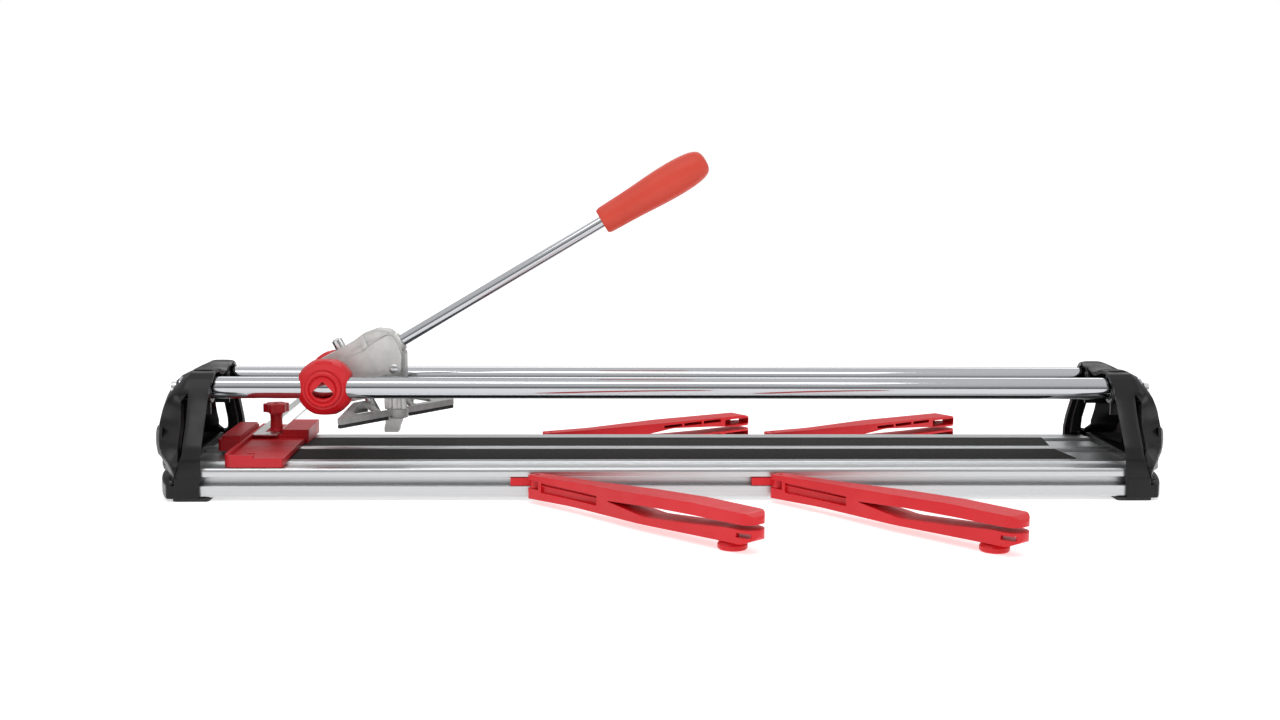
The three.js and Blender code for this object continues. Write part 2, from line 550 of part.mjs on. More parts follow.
// ---- breaker ----
function makeBreaker() {
  const hook = prismY([
    [HINGE_X - 7, HINGE_Z + 3, 6], [HINGE_X + 6.5, HINGE_Z + 6.5, 6], [HINGE_X + 6.5, 70],
    [-218, 62], [-222.6, 47.5], [-222.6, 42.8], [-234.6, 42.8], [-234.6, 70], [HINGE_X - 7, 84],
  ], -6.5, 6.5);
  const flute = (x) => cylinderZ(2.2, 57, 88, x, -7.2, 12);
  const pinHole = cylinderY(HINGE_RADIUS + GAP, -30, 30, HINGE_X, HINGE_Z, 16);
  const collar = cylinderZ(8, 62, 70, SWIVEL_X + 1, 0, 20);
  const seat = box(-240, -200, -20, 20, 54.2, 62.6);
  const neck = cylinderZ(SWIVEL_RADIUS, 54, 63, SWIVEL_X, 0, 20);
  const toe = prismY([[-234.6, 42.8], [-222.6, 42.8], [-222.6, 47.5], [-220.4, 54.5], [-234.6, 54.5]],
    -6.5, 6.5);
  const upper = cut(joined(hook, collar.intersect(box(-240, -216, -9, 9, 60, 75))), seat);
  const foot = cut(joined(upper, toe, neck), flute(-229), flute(-221.5), pinHole);
  addPart('breaker_foot', foot, 'cast');
  const pin = turned(
    [[0, -14.5], [2.4, -14.5], [HINGE_RADIUS, -13.9], [HINGE_RADIUS, 13.9], [2.4, 14.5], [0, 14.5]],
    [HINGE_X, 0, HINGE_Z], [0, 1, 0], 16);
  addPart('breaker_pin', pin, 'steel');

  // The wings are drawn along local X and then turned in plan about the swivel.
  const hubRing = cut(cylinderZ(9, 54.6, 62.2, 0, 0, 24), cylinderZ(SWIVEL_RADIUS + GAP, 50, 70, 0, 0, 20));
  const bar = box(-WING_LENGTH, WING_LENGTH, -2, 1.4, 57, 62.2);
  let wings = joined(hubRing, bar);
  for (const s of [-1, 1]) {
    const plan = [[s * WING_LENGTH, -2], [s * WING_LENGTH, 1.4], [s * 36, 16], [s * 21, 16],
      [s * 18, -2]];
    const slab = prismX([[-2, 57], [17, 63.4], [17, 66], [-2, 59.6]], -90, 90);
    const hole = prismZ([[s * 53, 3, 2], [s * 35, 11.5, 3], [s * 26, 11.5, 3], [s * 24, 3, 2]], 40, 90);
    const web = box(Math.min(s * 21, s * 35), Math.max(s * 21, s * 35), 14, 16, 60.5, 65.6);
    wings = wings.add(cut(slab.intersect(prismZ(plan, 40, 90)), hole)).add(web);
  }
  wings = cut(wings, cylinderZ(SWIVEL_RADIUS + GAP, 50, 80, 0, 0, 20));
  const place = (body) => body.rotate([0, 0, WINGS_DEGREES]).translate([SWIVEL_X, 0, 0]);
  addPart('breaker_wings', place(wings), 'darkGrey');
  for (const [name, s] of [['left', -1], ['right', 1]]) {
    const strip = box(Math.min(s * 13, s * WING_LENGTH), Math.max(s * 13, s * WING_LENGTH),
      -2, 1.4, 54, 57 - GAP);
    addPart(`wing_strip_${name}`, place(strip), 'rubber');
  }
}

// ---- side supports ----
// An arm is drawn along +X from its hinge pin at the origin, then turned and placed.
// The far arms are the same moulding rolled half a turn about its length.
function hollow(start, end, bottom, top) {
  return box(start, end, -ARM_SKIN_Y, 20, bottom, top);
}

function armBody(rolled) {
  const side = prismY([
    [-6.5, 4.5, 2], [42, 5.5], [131, 5.8, 30], [ARM_LENGTH - 8, 7.4, 6], [ARM_LENGTH, 11, 3],
    [ARM_LENGTH, 17.4, 1], [210, 17.6], [178, 15.5, 12], [131, 13.5, 12], [89, 16.4], [89, 17],
    [133, 20, 12], [178, 20.6, 12], [210, 21], [ARM_LENGTH, 21.2, 1], [ARM_LENGTH, 26, 3],
    [ARM_LENGTH - 6, 29.5, 5], [172, 29.8, 20], [131, 28.3, 20], [42, 24.6], [-6.5, 22.8, 2],
  ], -14, 14);
  const plan = prismZ([
    [-6.5, -6, 4], [51, -6.4, 20], [121, -11.5, 25], [ARM_LENGTH, -11, 10.5],
    [ARM_LENGTH, 11, 10.5], [121, 11.5, 25], [51, 6.4, 20], [-6.5, 6, 4],
  ], 0, 40);
  const pockets = [
    box(10.5, 76, -8, -4.4, 11.2, 18.6),
    hollow(196, ARM_LENGTH - 3.5, 9.8, 15.8), hollow(196, ARM_LENGTH - 3.5, 22.8, 27),
    box(ARM_LENGTH - 10.6, ARM_LENGTH - 1.5, -20, -ARM_SKIN_Y + 1, 12, 15.2),
  ];
  for (let start = 97; start < 181; start += ARM_RIB_PITCH) {
    pockets.push(hollow(start, start + ARM_RIB_PITCH - 2.4, 22.2, 26));
  }
  for (let start = 121; start < 181; start += ARM_RIB_PITCH) {
    pockets.push(hollow(start, start + ARM_RIB_PITCH - 2.4, 8.2, 11.6));
  }
  const moulding = cut(side.intersect(plan), ...pockets);
  const placed = rolled ? moulding.rotate([180, 0, 0]).translate([0, 0, 2 * ARM_ROLL_Z]) : moulding;
  const clevis = box(-20, 7.2, -20, 20, GROOVE_BOTTOM, GROOVE_TOP - 0.2);
  const pinHole = cylinderZ(ARM_PIN_RADIUS + PIN_PLAY, 0, 40, 0, 0, 14);
  const footSeat = cylinderZ(FAR_FOOT_RADIUS + GAP, -1, FAR_FOOT_TOP + GAP, ARM_FOOT_AT, 0, 24);
  return rolled ? cut(placed, clevis, pinHole, footSeat) : cut(placed, clevis, pinHole);
}

function makeArm(name, hingeX, sign, degrees) {
  const rolled = sign > 0;
  const turn = (body) => body.rotate([0, 0, sign * degrees]).translate([hingeX, sign * ARM_PIVOT_Y, 0]);
  addPart(`arm_${name}`, turn(armBody(rolled)), 'red');
  const profile = rolled
    ? [[0, 0], [FAR_FOOT_RADIUS - 0.8, 0], [FAR_FOOT_RADIUS, 0.8], [FAR_FOOT_RADIUS, FAR_FOOT_TOP],
      [0, FAR_FOOT_TOP]]
    : [[0, 0], [9.6, 0], [10.6, 1], [10.6, 3.6], [9.8, 4.2], [9.8, ARM_FOOT_TOP], [0, ARM_FOOT_TOP]];
  addPart(`arm_foot_${name}`, turn(turned(profile, [ARM_FOOT_AT, 0, 0], [0, 0, 1], 24)), 'red');
  const pin = turned([[0, 5.2], [1.6, 5.2], [ARM_PIN_RADIUS, 5.6], [ARM_PIN_RADIUS, 22.2],
    [1.6, 22.6], [0, 22.6]], [0, 0, 0], [0, 0, 1], 14);
  addPart(`arm_pin_${name}`, turn(rolled ? pin.translate([0, 0, 3]) : pin), 'steel');
  const y0 = BED_HALF_WIDTH - GROOVE_DEPTH + GAP;
  const lug = cut(joined(
    prismZ([[-22, y0], [14, y0], [14, BED_HALF_WIDTH + 0.6], [6.5, BED_HALF_WIDTH + 0.6],
      [5, ARM_PIVOT_Y + 3.6, 2], [-5, ARM_PIVOT_Y + 3.6, 2], [-6.5, BED_HALF_WIDTH + 0.6],
      [-22, BED_HALF_WIDTH + 0.6]], GROOVE_BOTTOM + GAP, GROOVE_TOP - 0.5)),
  cylinderZ(ARM_PIN_RADIUS + PIN_PLAY, 0, 40, 0, ARM_PIVOT_Y, 14));
  addPart(`arm_lug_${name}`, (sign > 0 ? lug : mirrorY(lug)).translate([hingeX, 0, 0]), 'red');
}

makeBed();
makeTower(1);
makeTower(-1);
makeRods();
makeStop();
makeSlider('far', 1);
makeSlider('near', -1);
makeHead();
makeBreaker();
makeArm('near_left', -103.5, -1, 46.9);
makeArm('near_right', 89.5, -1, 50.6);
makeArm('far_left', -97, 1, 34.6);
makeArm('far_right', 104.5, 1, 33.6);

export default assembly;
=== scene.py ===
import json
import math

import bmesh
import bpy
import numpy as np
from mathutils import Matrix, Vector


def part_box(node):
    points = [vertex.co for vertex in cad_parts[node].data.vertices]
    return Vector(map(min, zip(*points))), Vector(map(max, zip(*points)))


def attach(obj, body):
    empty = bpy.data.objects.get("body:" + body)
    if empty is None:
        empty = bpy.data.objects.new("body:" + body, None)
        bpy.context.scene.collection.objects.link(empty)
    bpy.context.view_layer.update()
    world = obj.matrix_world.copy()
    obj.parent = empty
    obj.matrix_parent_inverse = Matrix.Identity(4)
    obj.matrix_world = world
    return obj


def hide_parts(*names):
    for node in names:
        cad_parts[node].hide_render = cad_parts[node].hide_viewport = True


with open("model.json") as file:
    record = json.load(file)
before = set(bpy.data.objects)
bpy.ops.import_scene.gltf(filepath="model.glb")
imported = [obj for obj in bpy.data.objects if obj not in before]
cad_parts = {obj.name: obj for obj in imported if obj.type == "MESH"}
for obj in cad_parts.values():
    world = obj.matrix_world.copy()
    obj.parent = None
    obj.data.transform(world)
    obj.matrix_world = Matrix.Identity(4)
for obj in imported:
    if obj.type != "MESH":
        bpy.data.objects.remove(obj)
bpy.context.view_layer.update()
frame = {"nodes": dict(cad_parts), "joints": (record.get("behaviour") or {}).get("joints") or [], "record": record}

MM = 0.001
PIECE_BEVEL_STEPS = 3
PIECE_BEVEL_ANGLE = 28
CAD_BEVEL = 0.35
CAD_BEVEL_STEPS = 2
CAD_BEVEL_ANGLE = 40


# ---------------------------------------------------------------- materials
class Nodes:
    """A material under construction, with short helpers for its nodes."""

    def __init__(self, name, colour, roughness, metallic=0.0, **extra):
        self.material = bpy.data.materials.new(name)
        self.material.use_nodes = True
        self.tree = self.material.node_tree
        self.shader = self.tree.nodes["Principled BSDF"]
        self.shader.inputs["Base Color"].default_value = (*colour, 1)
        self.shader.inputs["Roughness"].default_value = roughness
        self.shader.inputs["Metallic"].default_value = metallic
        for key, value in extra.items():
            self.shader.inputs[key.replace("_", " ")].default_value = value
        self.place = self.tree.nodes.new("ShaderNodeTexCoord").outputs["Object"]

    def link(self, output, target):
        self.tree.links.new(output, target)

    def scaled(self, x, y, z):
        node = self.tree.nodes.new("ShaderNodeMapping")
        node.inputs["Scale"].default_value = (x, y, z)
        self.link(self.place, node.inputs["Vector"])
        return node.outputs["Vector"]

    def noise(self, scale, detail=2.0, stretch=(1, 1, 1)):
        node = self.tree.nodes.new("ShaderNodeTexNoise")
        node.inputs["Scale"].default_value = scale
        node.inputs["Detail"].default_value = detail
        self.link(self.scaled(*stretch), node.inputs["Vector"])
        return node.outputs["Fac"]

    def ramp(self, value, stops):
        node = self.tree.nodes.new("ShaderNodeValToRGB")
        elements = node.color_ramp.elements
        for i, (place, colour) in enumerate(stops):
            stop = elements[i] if i < 2 else elements.new(place)
            stop.position = place
            stop.color = (*colour, 1) if len(colour) == 3 else (*colour * 3, 1)
        self.link(value, node.inputs["Fac"])
        return node.outputs["Color"]

    def range(self, value, low, high, start=0.0, end=1.0):
        node = self.tree.nodes.new("ShaderNodeMapRange")
        limits = {"From Min": start, "From Max": end, "To Min": low, "To Max": high}
        for key, number in limits.items():
            node.inputs[key].default_value = number
        self.link(value, node.inputs["Value"])
        return node.outputs["Result"]

    def bump(self, height, strength, distance):
        node = self.tree.nodes.new("ShaderNodeBump")
        node.inputs["Strength"].default_value = strength
        node.inputs["Distance"].default_value = distance
        self.link(height, node.inputs["Height"])
        if self.shader.inputs["Normal"].links:
            self.link(self.shader.inputs["Normal"].links[0].from_socket, node.inputs["Normal"])
        self.link(node.outputs["Normal"], self.shader.inputs["Normal"])

    def rough(self, value, low, high, start=0.35, end=0.65):
        self.link(self.range(value, low, high, start, end), self.shader.inputs["Roughness"])

    def tint(self, value, dark, light, start=0.3, end=0.7):
        self.link(self.ramp(value, [(start, dark), (end, light)]), self.shader.inputs["Base Color"])


def plastic(name, dark, light, rough, grain=900, depth=0.00012, shine=0.4):
    n = Nodes(name, light, rough)
    n.shader.inputs["Specular IOR Level"].default_value = shine
    n.tint(n.noise(14, 3), dark, light)
    n.rough(n.noise(60, 4), rough - 0.05, rough + 0.06)
    n.bump(n.noise(grain, 2), 0.12, depth)
    n.bump(n.noise(35, 2), 0.05, 0.0006)
    return n.material


def make_materials():
    made = {}
    n = Nodes("anodised_aluminium", (0.6, 0.61, 0.62), 0.36, 1.0)
    lines = n.noise(1400, 3, (0.004, 1, 1))
    n.tint(lines, (0.56, 0.57, 0.585), (0.66, 0.665, 0.67))
    n.rough(lines, 0.30, 0.42)
    n.bump(lines, 0.10, 0.00008)
    made["anodised"] = n.material

    n = Nodes("hard_chrome", (0.50, 0.51, 0.53), 0.1, 1.0)
    n.rough(n.noise(900, 2, (1, 0.02, 0.02)), 0.07, 0.13)
    made["chrome"] = n.material

    n = Nodes("zinc_plated_steel", (0.70, 0.70, 0.71), 0.24, 1.0)
    n.tint(n.noise(200, 3), (0.62, 0.62, 0.64), (0.75, 0.75, 0.75))
    n.rough(n.noise(300, 3), 0.18, 0.3)
    made["bright_steel"] = n.material

    n = Nodes("ruler_steel", (0.72, 0.72, 0.7), 0.34, 1.0)
    brushed = n.noise(1600, 3, (1, 0.01, 1))
    n.tint(brushed, (0.66, 0.66, 0.65), (0.78, 0.78, 0.76))
    n.rough(brushed, 0.28, 0.40)
    made["ruler_steel"] = n.material

    n = Nodes("blasted_casting", (0.66, 0.655, 0.64), 0.5, 0.55)
    n.tint(n.noise(120, 5), (0.60, 0.595, 0.58), (0.70, 0.695, 0.68))
    n.rough(n.noise(500, 4), 0.42, 0.58)
    n.bump(n.noise(1500, 3), 0.22, 0.0003)
    n.bump(n.noise(160, 3), 0.06, 0.0008)
    made["cast_aluminium"] = n.material

    n = Nodes("grey_wing", (0.42, 0.42, 0.42), 0.45, 0.4)
    n.tint(n.noise(150, 4), (0.36, 0.36, 0.36), (0.47, 0.47, 0.46))
    n.rough(n.noise(500, 4), 0.40, 0.52)
    n.bump(n.noise(1200, 3), 0.18, 0.0003)
    made["grey_plastic"] = n.material

    n = Nodes("foam_rubber", (0.03, 0.028, 0.027), 0.8)
    cells = n.noise(1900, 4)
    n.tint(cells, (0.008, 0.008, 0.008), (0.022, 0.021, 0.02))
    n.shader.inputs["Specular IOR Level"].default_value = 0.25
    n.rough(n.noise(700, 3), 0.72, 0.9)
    n.bump(cells, 0.5, 0.0005)
    made["pad"] = n.material

    n = Nodes("rubber", (0.02, 0.02, 0.02), 0.75)
    n.tint(n.noise(900, 3), (0.012, 0.012, 0.012), (0.03, 0.03, 0.03))
    n.rough(n.noise(300, 3), 0.62, 0.82)
    n.bump(n.noise(1200, 3), 0.3, 0.0003)
    made["rubber"] = n.material

    made["black_plastic"] = plastic("black_plastic", (0.005, 0.005, 0.0055), (0.009, 0.009, 0.0095),
                                    0.34, shine=0.28)
    made["red_plastic"] = plastic("red_plastic", (0.62, 0.006, 0.012), (0.70, 0.010, 0.018), 0.38)
    made["dark_red"] = plastic("dark_red_plastic", (0.46, 0.008, 0.014), (0.53, 0.012, 0.020), 0.42)
    made["grip"] = plastic("soft_grip", (0.60, 0.050, 0.028), (0.67, 0.066, 0.038), 0.5,
                           grain=1400, depth=0.0002)
    return made


MATERIALS = make_materials()
SLOT_OF = {part["node"]: part["material_slot"] for part in frame["record"]["subparts"]}


def dress_cad_nodes():
    """Gives each CAD node that stays on show the finish of its slot."""
    for name, obj in frame["nodes"].items():
        obj.data.materials.clear()
        obj.data.materials.append(MATERIALS[SLOT_OF[name]])


# ---------------------------------------------------------------- shapes, sizes in millimetres
def rounded(points, steps=7):
    """A closed outline whose corners (u, v, radius) are rounded."""
    out = []
    for i, corner in enumerate(points):
        here, before, after = (Vector(points[k][:2]) for k in (i, i - 1, (i + 1) % len(points)))
        radius = corner[2] if len(corner) > 2 else 0
        a, b = before - here, after - here
        turn = a.angle(b)
        if radius <= 0 or turn > math.pi - 0.02:
            out.append((here.x, here.y))
            continue
        reach = min(radius / math.tan(turn / 2), 0.48 * a.length, 0.48 * b.length)
        radius = reach * math.tan(turn / 2)
        a.normalize()
        b.normalize()
        centre = here + (a + b).normalized() * (radius / math.sin(turn / 2))
        start, end = here + a * reach - centre, here + b * reach - centre
        first = math.atan2(start.y, start.x)
        sweep = (math.atan2(end.y, end.x) - first + math.pi) % (2 * math.pi) - math.pi
        for k in range(steps + 1):
            angle = first + sweep * k / steps
            rim = centre + radius * Vector((math.cos(angle), math.sin(angle)))
            out.append((rim.x, rim.y))
    return out


def shape(verts, faces):
    """A temporary mesh object with outward faces, scaled to metres."""
    mesh = bpy.data.meshes.new("shape")
    mesh.from_pydata([Vector(v) * MM for v in verts], [], faces)
    bm = bmesh.new()
    bm.from_mesh(mesh)
    bmesh.ops.remove_doubles(bm, verts=bm.verts, dist=1e-7)
    bmesh.ops.recalc_face_normals(bm, faces=bm.faces)
    bm.to_mesh(mesh)
    bm.free()
    obj = bpy.data.objects.new("shape", mesh)
    bpy.context.scene.collection.objects.link(obj)
    return obj


PLANES = {
    "x": lambda u, v, w: (w, u, v),
    "y": lambda u, v, w: (u, w, v),
    "z": lambda u, v, w: (u, v, w),
}


def prism(axis, points, low, high):
    """An outline pushed along an axis; (u, v) is (y, z), (x, z) or (x, y)."""
    ring = rounded(points)
    n = len(ring)
    verts = [PLANES[axis](u, v, w) for w in (low, high) for u, v in ring]
    faces = [tuple(range(n)), tuple(range(n, 2 * n))]
    faces += [(i, (i + 1) % n, n + (i + 1) % n, n + i) for i in range(n)]
    return shape(verts, faces)


def block(x0, x1, y0, y1, z0, z1):
    return prism("z", [(x0, y0), (x1, y0), (x1, y1), (x0, y1)], z0, z1)


def turned(profile, origin, direction, sides=72, corners=True):
    """A profile of (radius, distance) turned about a line."""
    rows = rounded(profile) if corners else profile
    spin = Vector(direction).normalized().to_track_quat("Z", "Y").to_matrix()
    verts, faces = [], []
    for radius, along in rows:
        for k in range(sides):
            angle = 2 * math.pi * k / sides
            local = Vector((radius * math.cos(angle), radius * math.sin(angle), along))
            verts.append(spin @ local + Vector(origin))
    count = len(rows)
    for j in range(count):
        a, b = j * sides, (j + 1) % count * sides
        if rows[j][0] == 0 and rows[(j + 1) % count][0] == 0:
            continue
        for k in range(sides):
            m = (k + 1) % sides
            faces.append((a + k, a + m, b + m, b + k))
    return shape(verts, faces)


def rod(radius, start, end, bevel=0.0, sides=72):
    start, end = Vector(start), Vector(end)
    length = (end - start).length
    profile = [(0, 0), (radius, 0, bevel), (radius, length, bevel), (0, length)]
    return turned(profile, start, end - start, sides)


def combine(base, joins=(), cuts=(), keep=()):
    """Joins and cuts temporary shapes into the first, then removes them."""
    for how, tools in (("UNION", joins), ("DIFFERENCE", cuts), ("INTERSECT", keep)):
        for tool in tools:
            step = base.modifiers.new(how, "BOOLEAN")
            step.operation, step.object, step.solver = how, tool, "MANIFOLD"
    bpy.context.view_layer.update()
    result = base.evaluated_get(bpy.context.evaluated_depsgraph_get())
    made = bpy.data.meshes.new_from_object(result)
    base.modifiers.clear()
    base.data = made
    for tool in (*joins, *cuts, *keep):
        bpy.data.objects.remove(tool)
    return base


def soft_edges(obj, width, steps, angle):
    """A bevel on every edge sharper than the angle, in degrees."""
    soft = obj.modifiers.new("soft_edges", "BEVEL")
    soft.width = width * MM
    soft.segments = steps
    soft.limit_method = "ANGLE"
    soft.angle_limit = math.radians(angle)
    return soft


def piece(obj, name, body, slot_name, nodes=(), bevel=0.5):
    """Names a finished shape, softens its edges and hangs it on its body."""
    obj.name = name
    obj.data.name = name
    obj.data.polygons.foreach_set("use_smooth", [True] * len(obj.data.polygons))
    if bevel:
        soft = soft_edges(obj, bevel, PIECE_BEVEL_STEPS, PIECE_BEVEL_ANGLE)
        soft.miter_outer = "MITER_ARC"
        even = obj.modifiers.new("even_shading", "WEIGHTED_NORMAL")
        even.keep_sharp = True
    obj.data.materials.clear()
    obj.data.materials.append(MATERIALS[slot_name])
    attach(obj, body)
    if nodes:
        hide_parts(*nodes)
    return obj


def mirrored(obj, axis):
    """Turns a shape into its mirror image across the plane of that axis."""
    flip = Matrix.Identity(4)
    flip["xyz".index(axis)]["xyz".index(axis)] = -1
    obj.data.transform(flip)
    obj.data.flip_normals()
    return obj


def smooth_curve(points, count):
    """Points evenly spread along a smooth curve through the given ones."""
    pts = np.array(points, float)
    far = np.concatenate([[0], np.cumsum(np.linalg.norm(np.diff(pts, axis=0), axis=1))])
    ends = np.vstack([2 * pts[0] - pts[1], pts, 2 * pts[-1] - pts[-2]])
    out = []
    for s in np.linspace(0, far[-1], count):
        i = min(np.searchsorted(far, s, side="right") - 1, len(pts) - 2)
        t = (s - far[i]) / (far[i + 1] - far[i])
        p0, p1, p2, p3 = ends[i:i + 4]
        out.append(0.5 * (2 * p1 + (p2 - p0) * t + (2 * p0 - 5 * p1 + 4 * p2 - p3) * t ** 2
                          + (3 * p1 - p0 - 3 * p2 + p3) * t ** 3))
    return np.array(out)


def ease(x, low, high):
    """0 below low, 1 above high, smooth between."""
    t = np.clip((x - low) / (high - low), 0, 1)
    return t * t * (3 - 2 * t)


# ---------------------------------------------------------------- stage
def make_stage():
    mesh = bpy.data.meshes.new("floor")
    reach = 30.0
    corners = [(-reach, -reach, 0), (reach, -reach, 0), (reach, reach, 0), (-reach, reach, 0)]
    mesh.from_pydata(corners, [], [(0, 1, 2, 3)])
    floor = bpy.data.objects.new("floor", mesh)
    bpy.context.scene.collection.objects.link(floor)
    n = Nodes("floor", (0.72, 0.72, 0.72), 0.6)
    n.rough(n.noise(3, 2), 0.55, 0.65)
    n.shader.inputs["Emission Color"].default_value = (1, 1, 1, 1)
    n.shader.inputs["Emission Strength"].default_value = 0.6
    n.shader.inputs["Specular IOR Level"].default_value = 0.1
    mesh.materials.append(n.material)


def make_world():
    world = bpy.data.worlds.new("studio")
    bpy.context.scene.world = world
    world.use_nodes = True
    tree = world.node_tree
    back = tree.nodes["Background"]
    coord = tree.nodes.new("ShaderNodeTexCoord")
    split = tree.nodes.new("ShaderNodeSeparateXYZ")
    tree.links.new(coord.outputs["Generated"], split.inputs["Vector"])
    ramp = tree.nodes.new("ShaderNodeValToRGB")
    elements = ramp.color_ramp.elements
    stops = [(0.0, 0.6), (0.47, 0.6), (0.52, 0.12), (0.60, 0.28), (0.76, 0.8), (1.0, 0.9)]
    for i, (place, value) in enumerate(stops):
        stop = elements[i] if i < 2 else elements.new(place)
        stop.position = place
        stop.color = (value, value, value, 1)
    half = tree.nodes.new("ShaderNodeMapRange")
    half.inputs["From Min"].default_value = -1
    half.inputs["From Max"].default_value = 1
    tree.links.new(split.outputs["Z"], half.inputs["Value"])
    tree.links.new(half.outputs["Result"], ramp.inputs["Fac"])
    path = tree.nodes.new("ShaderNodeLightPath")
    mix = tree.nodes.new("ShaderNodeMixRGB")
    mix.inputs["Color2"].default_value = (1, 1, 1, 1)
    tree.links.new(path.outputs["Is Camera Ray"], mix.inputs["Fac"])
    tree.links.new(ramp.outputs["Color"], mix.inputs["Color1"])
    tree.links.new(mix.outputs["Color"], back.inputs["Color"])
    back.inputs["Strength"].default_value = 1.0


def area(name, place, target, size_x, size_y, power):
    light = bpy.data.lights.new(name, "AREA")
    light.shape = "RECTANGLE"
    light.size, light.size_y = size_x, size_y
    light.energy = power
    obj = bpy.data.objects.new(name, light)
    bpy.context.scene.collection.objects.link(obj)
    obj.location = place
    obj.rotation_euler = (Vector(target) - Vector(place)).to_track_quat("-Z", "Y").to_euler()


def make_lights():
    middle = (0, 0, 0.05)
    area("key", (-0.3, -1.2, 2.4), middle, 2.4, 0.7, 17)
    area("fill_right", (2.2, -0.6, 1.2), middle, 0.8, 1.2, 5)
    area("back", (0.2, 2.0, 1.6), middle, 2.6, 0.6, 9)


CAMERA_PLACE = (-0.06665, -1.3077, 0.2643)
CAMERA_YAW, CAMERA_PITCH, CAMERA_ROLL = 2.05, -7.01, 0.35
SENSOR_WIDTH = 36
FOCAL_LENGTH = 43.9


def make_camera():
    yaw, pitch, roll = (math.radians(angle) for angle in (CAMERA_YAW, CAMERA_PITCH, CAMERA_ROLL))
    level = Vector((math.sin(yaw), math.cos(yaw), 0))
    forward = level * math.cos(pitch) + Vector((0, 0, math.sin(pitch)))
    right = Vector((math.cos(yaw), -math.sin(yaw), 0))
    up = right.cross(forward)
    across = math.cos(roll) * right + math.sin(roll) * up
    upward = math.cos(roll) * up - math.sin(roll) * right
    data = bpy.data.cameras.new("camera")
    data.sensor_width = SENSOR_WIDTH
    data.lens = FOCAL_LENGTH
    data.clip_start, data.clip_end = 0.05, 60
    cam = bpy.data.objects.new("camera", data)
    bpy.context.scene.collection.objects.link(cam)
    turn = Matrix((across, upward, -forward)).transposed()
    cam.matrix_world = Matrix.Translation(CAMERA_PLACE) @ turn.to_4x4()
    bpy.context.scene.camera = cam


# ---------------------------------------------------------------- towers
ROD_Y, ROD_Z, ROD_R = 33.5, 84.4, 9.0
SKIN_WALL = 3.0
BUMPER_Y = 50                         # half length of the bumper plate
BUMPER_COLUMNS = 41
COLLAR_X = 370.2
HOOD_LIP = 1.9                        # the hood stands this far in front of the pillars
PILLAR_FRONT = 369.5
# outlines of the tower, as (height, distance from the middle or along the rods)
LEG_OUTLINE = [
    (2, 85), (17, 85), (26, 85), (33, 84.4), (43, 80), (54, 72), (66, 63), (77, 55.2), (86, 49.6),
    (93, 44.5), (97, 39), (98.3, 33.5),
]
PILLAR_BACK = [
    (2, 397), (11, 396.4), (18, 391), (27, 388), (37, 384.6), (58, 384.4), (76, 385.4), (98.3, 386),
]
BULGE_REACH = [
    (14, 409.6), (17, 410.6), (24, 413.9), (32, 417.6), (43, 418.6), (54, 417.8), (66, 414.8),
    (77, 411), (86, 406.4), (93, 399), (96, 393), (98.3, 387.5),
]
WALL_CURVE = 0.003


def table(rows, z):
    return float(np.interp(z, [r[0] for r in rows], [r[1] for r in rows]))


def dome_x(y, z):
    """How far the end wall bulges out at this place."""
    half, back = table(LEG_OUTLINE, z), table(PILLAR_BACK, z)
    power = 8 - 4.4 * ease(z, 66, 84)
    across = max(0.0, 1 - (abs(y) / half) ** power) ** (1 / power)
    return back + max(0.0, table(BULGE_REACH, z) - WALL_CURVE * y * y - back) * across


def tower_skin():
    """The moulded skin: two pillars, the hood over the rods and the bulged end wall with scoops."""
    crest = 90 + 8.3 * np.sin(np.linspace(0.08, 1, 12) * math.pi / 2)
    heights = np.concatenate([np.linspace(15, 90, 46), crest])
    columns = np.linspace(-1, 1, 61)
    strip = [0, 0.5, 1.4, 4, 8, 12, 14.2, 15]
    grid, scooped = [], []
    for z in heights:
        half, back = table(LEG_OUTLINE, z), table(PILLAR_BACK, z)
        scoop = ease(z, 27, 40) * (1 - ease(z, 74, 84))
        width = 32 - 22 * ease(z, 52, 82)
        scooped.append(scoop)
        row = []
        for u in columns:
            y = half * math.sin(math.pi * u / 2)
            x = dome_x(y, z)
            inset = (half - abs(y)) / width
            if inset < 1:
                rim = dome_x(half - width, z)
                hollow = back + 6.5 + (rim - back - 6.5) * (0.5 * inset + 0.5 * inset ** 2)
                x += (hollow - x) * scoop * (1 - ease(inset, 0.8, 1))
                y -= math.copysign(13 * scoop * (1 - inset) ** 1.5 * width / 32, y)
            saddle = 4.5 * math.cos(math.pi * y / 46) ** 2 * ease(z, 84, 98) if abs(y) < 23 else 0
            row.append((x, y, z - saddle))
        sides = []
        for sign in (-1, 1):
            run = []
            for step in strip:
                part = step / strip[-1]
                front = PILLAR_FRONT - HOOD_LIP * ease(z, 86, 93)
                x = front + (back - front) * part
                sunk = max(scoop, 1 - ease(z, 27, 40)) * (2 * part - 1) ** 4
                run.append((x, sign * (half - sunk), z))
            sides.append(run)
        grid.append(sides[0] + row + sides[1][::-1])
    last = grid[-1]
    count, inner = len(last), len(strip)
    for step in strip[::-1][1:]:
        part = step / strip[-1]
        row = []
        for k, (x, y, z) in enumerate(last):
            if inner <= k < count - inner:
                front = PILLAR_FRONT - HOOD_LIP
                x = front + (table(PILLAR_BACK, 98) - front) * part
                z += 0.8 * (1 - (2 * part - 1) ** 4)
            row.append((x, y, z))
        grid.append(row)
    verts = [p for row in grid for p in row]
    faces = []
    for j in range(len(grid) - 1):
        for k in range(count - 1):
            top_side = j >= len(heights) - 1 and not inner - 1 <= k < count - inner
            gap = k in (inner - 1, count - inner - 1) and j < len(heights) - 1 and scooped[j] > 0.25
            if not (top_side or gap):
                a = j * count + k
                faces.append((a, a + 1, a + count + 1, a + count))
    return verts, faces


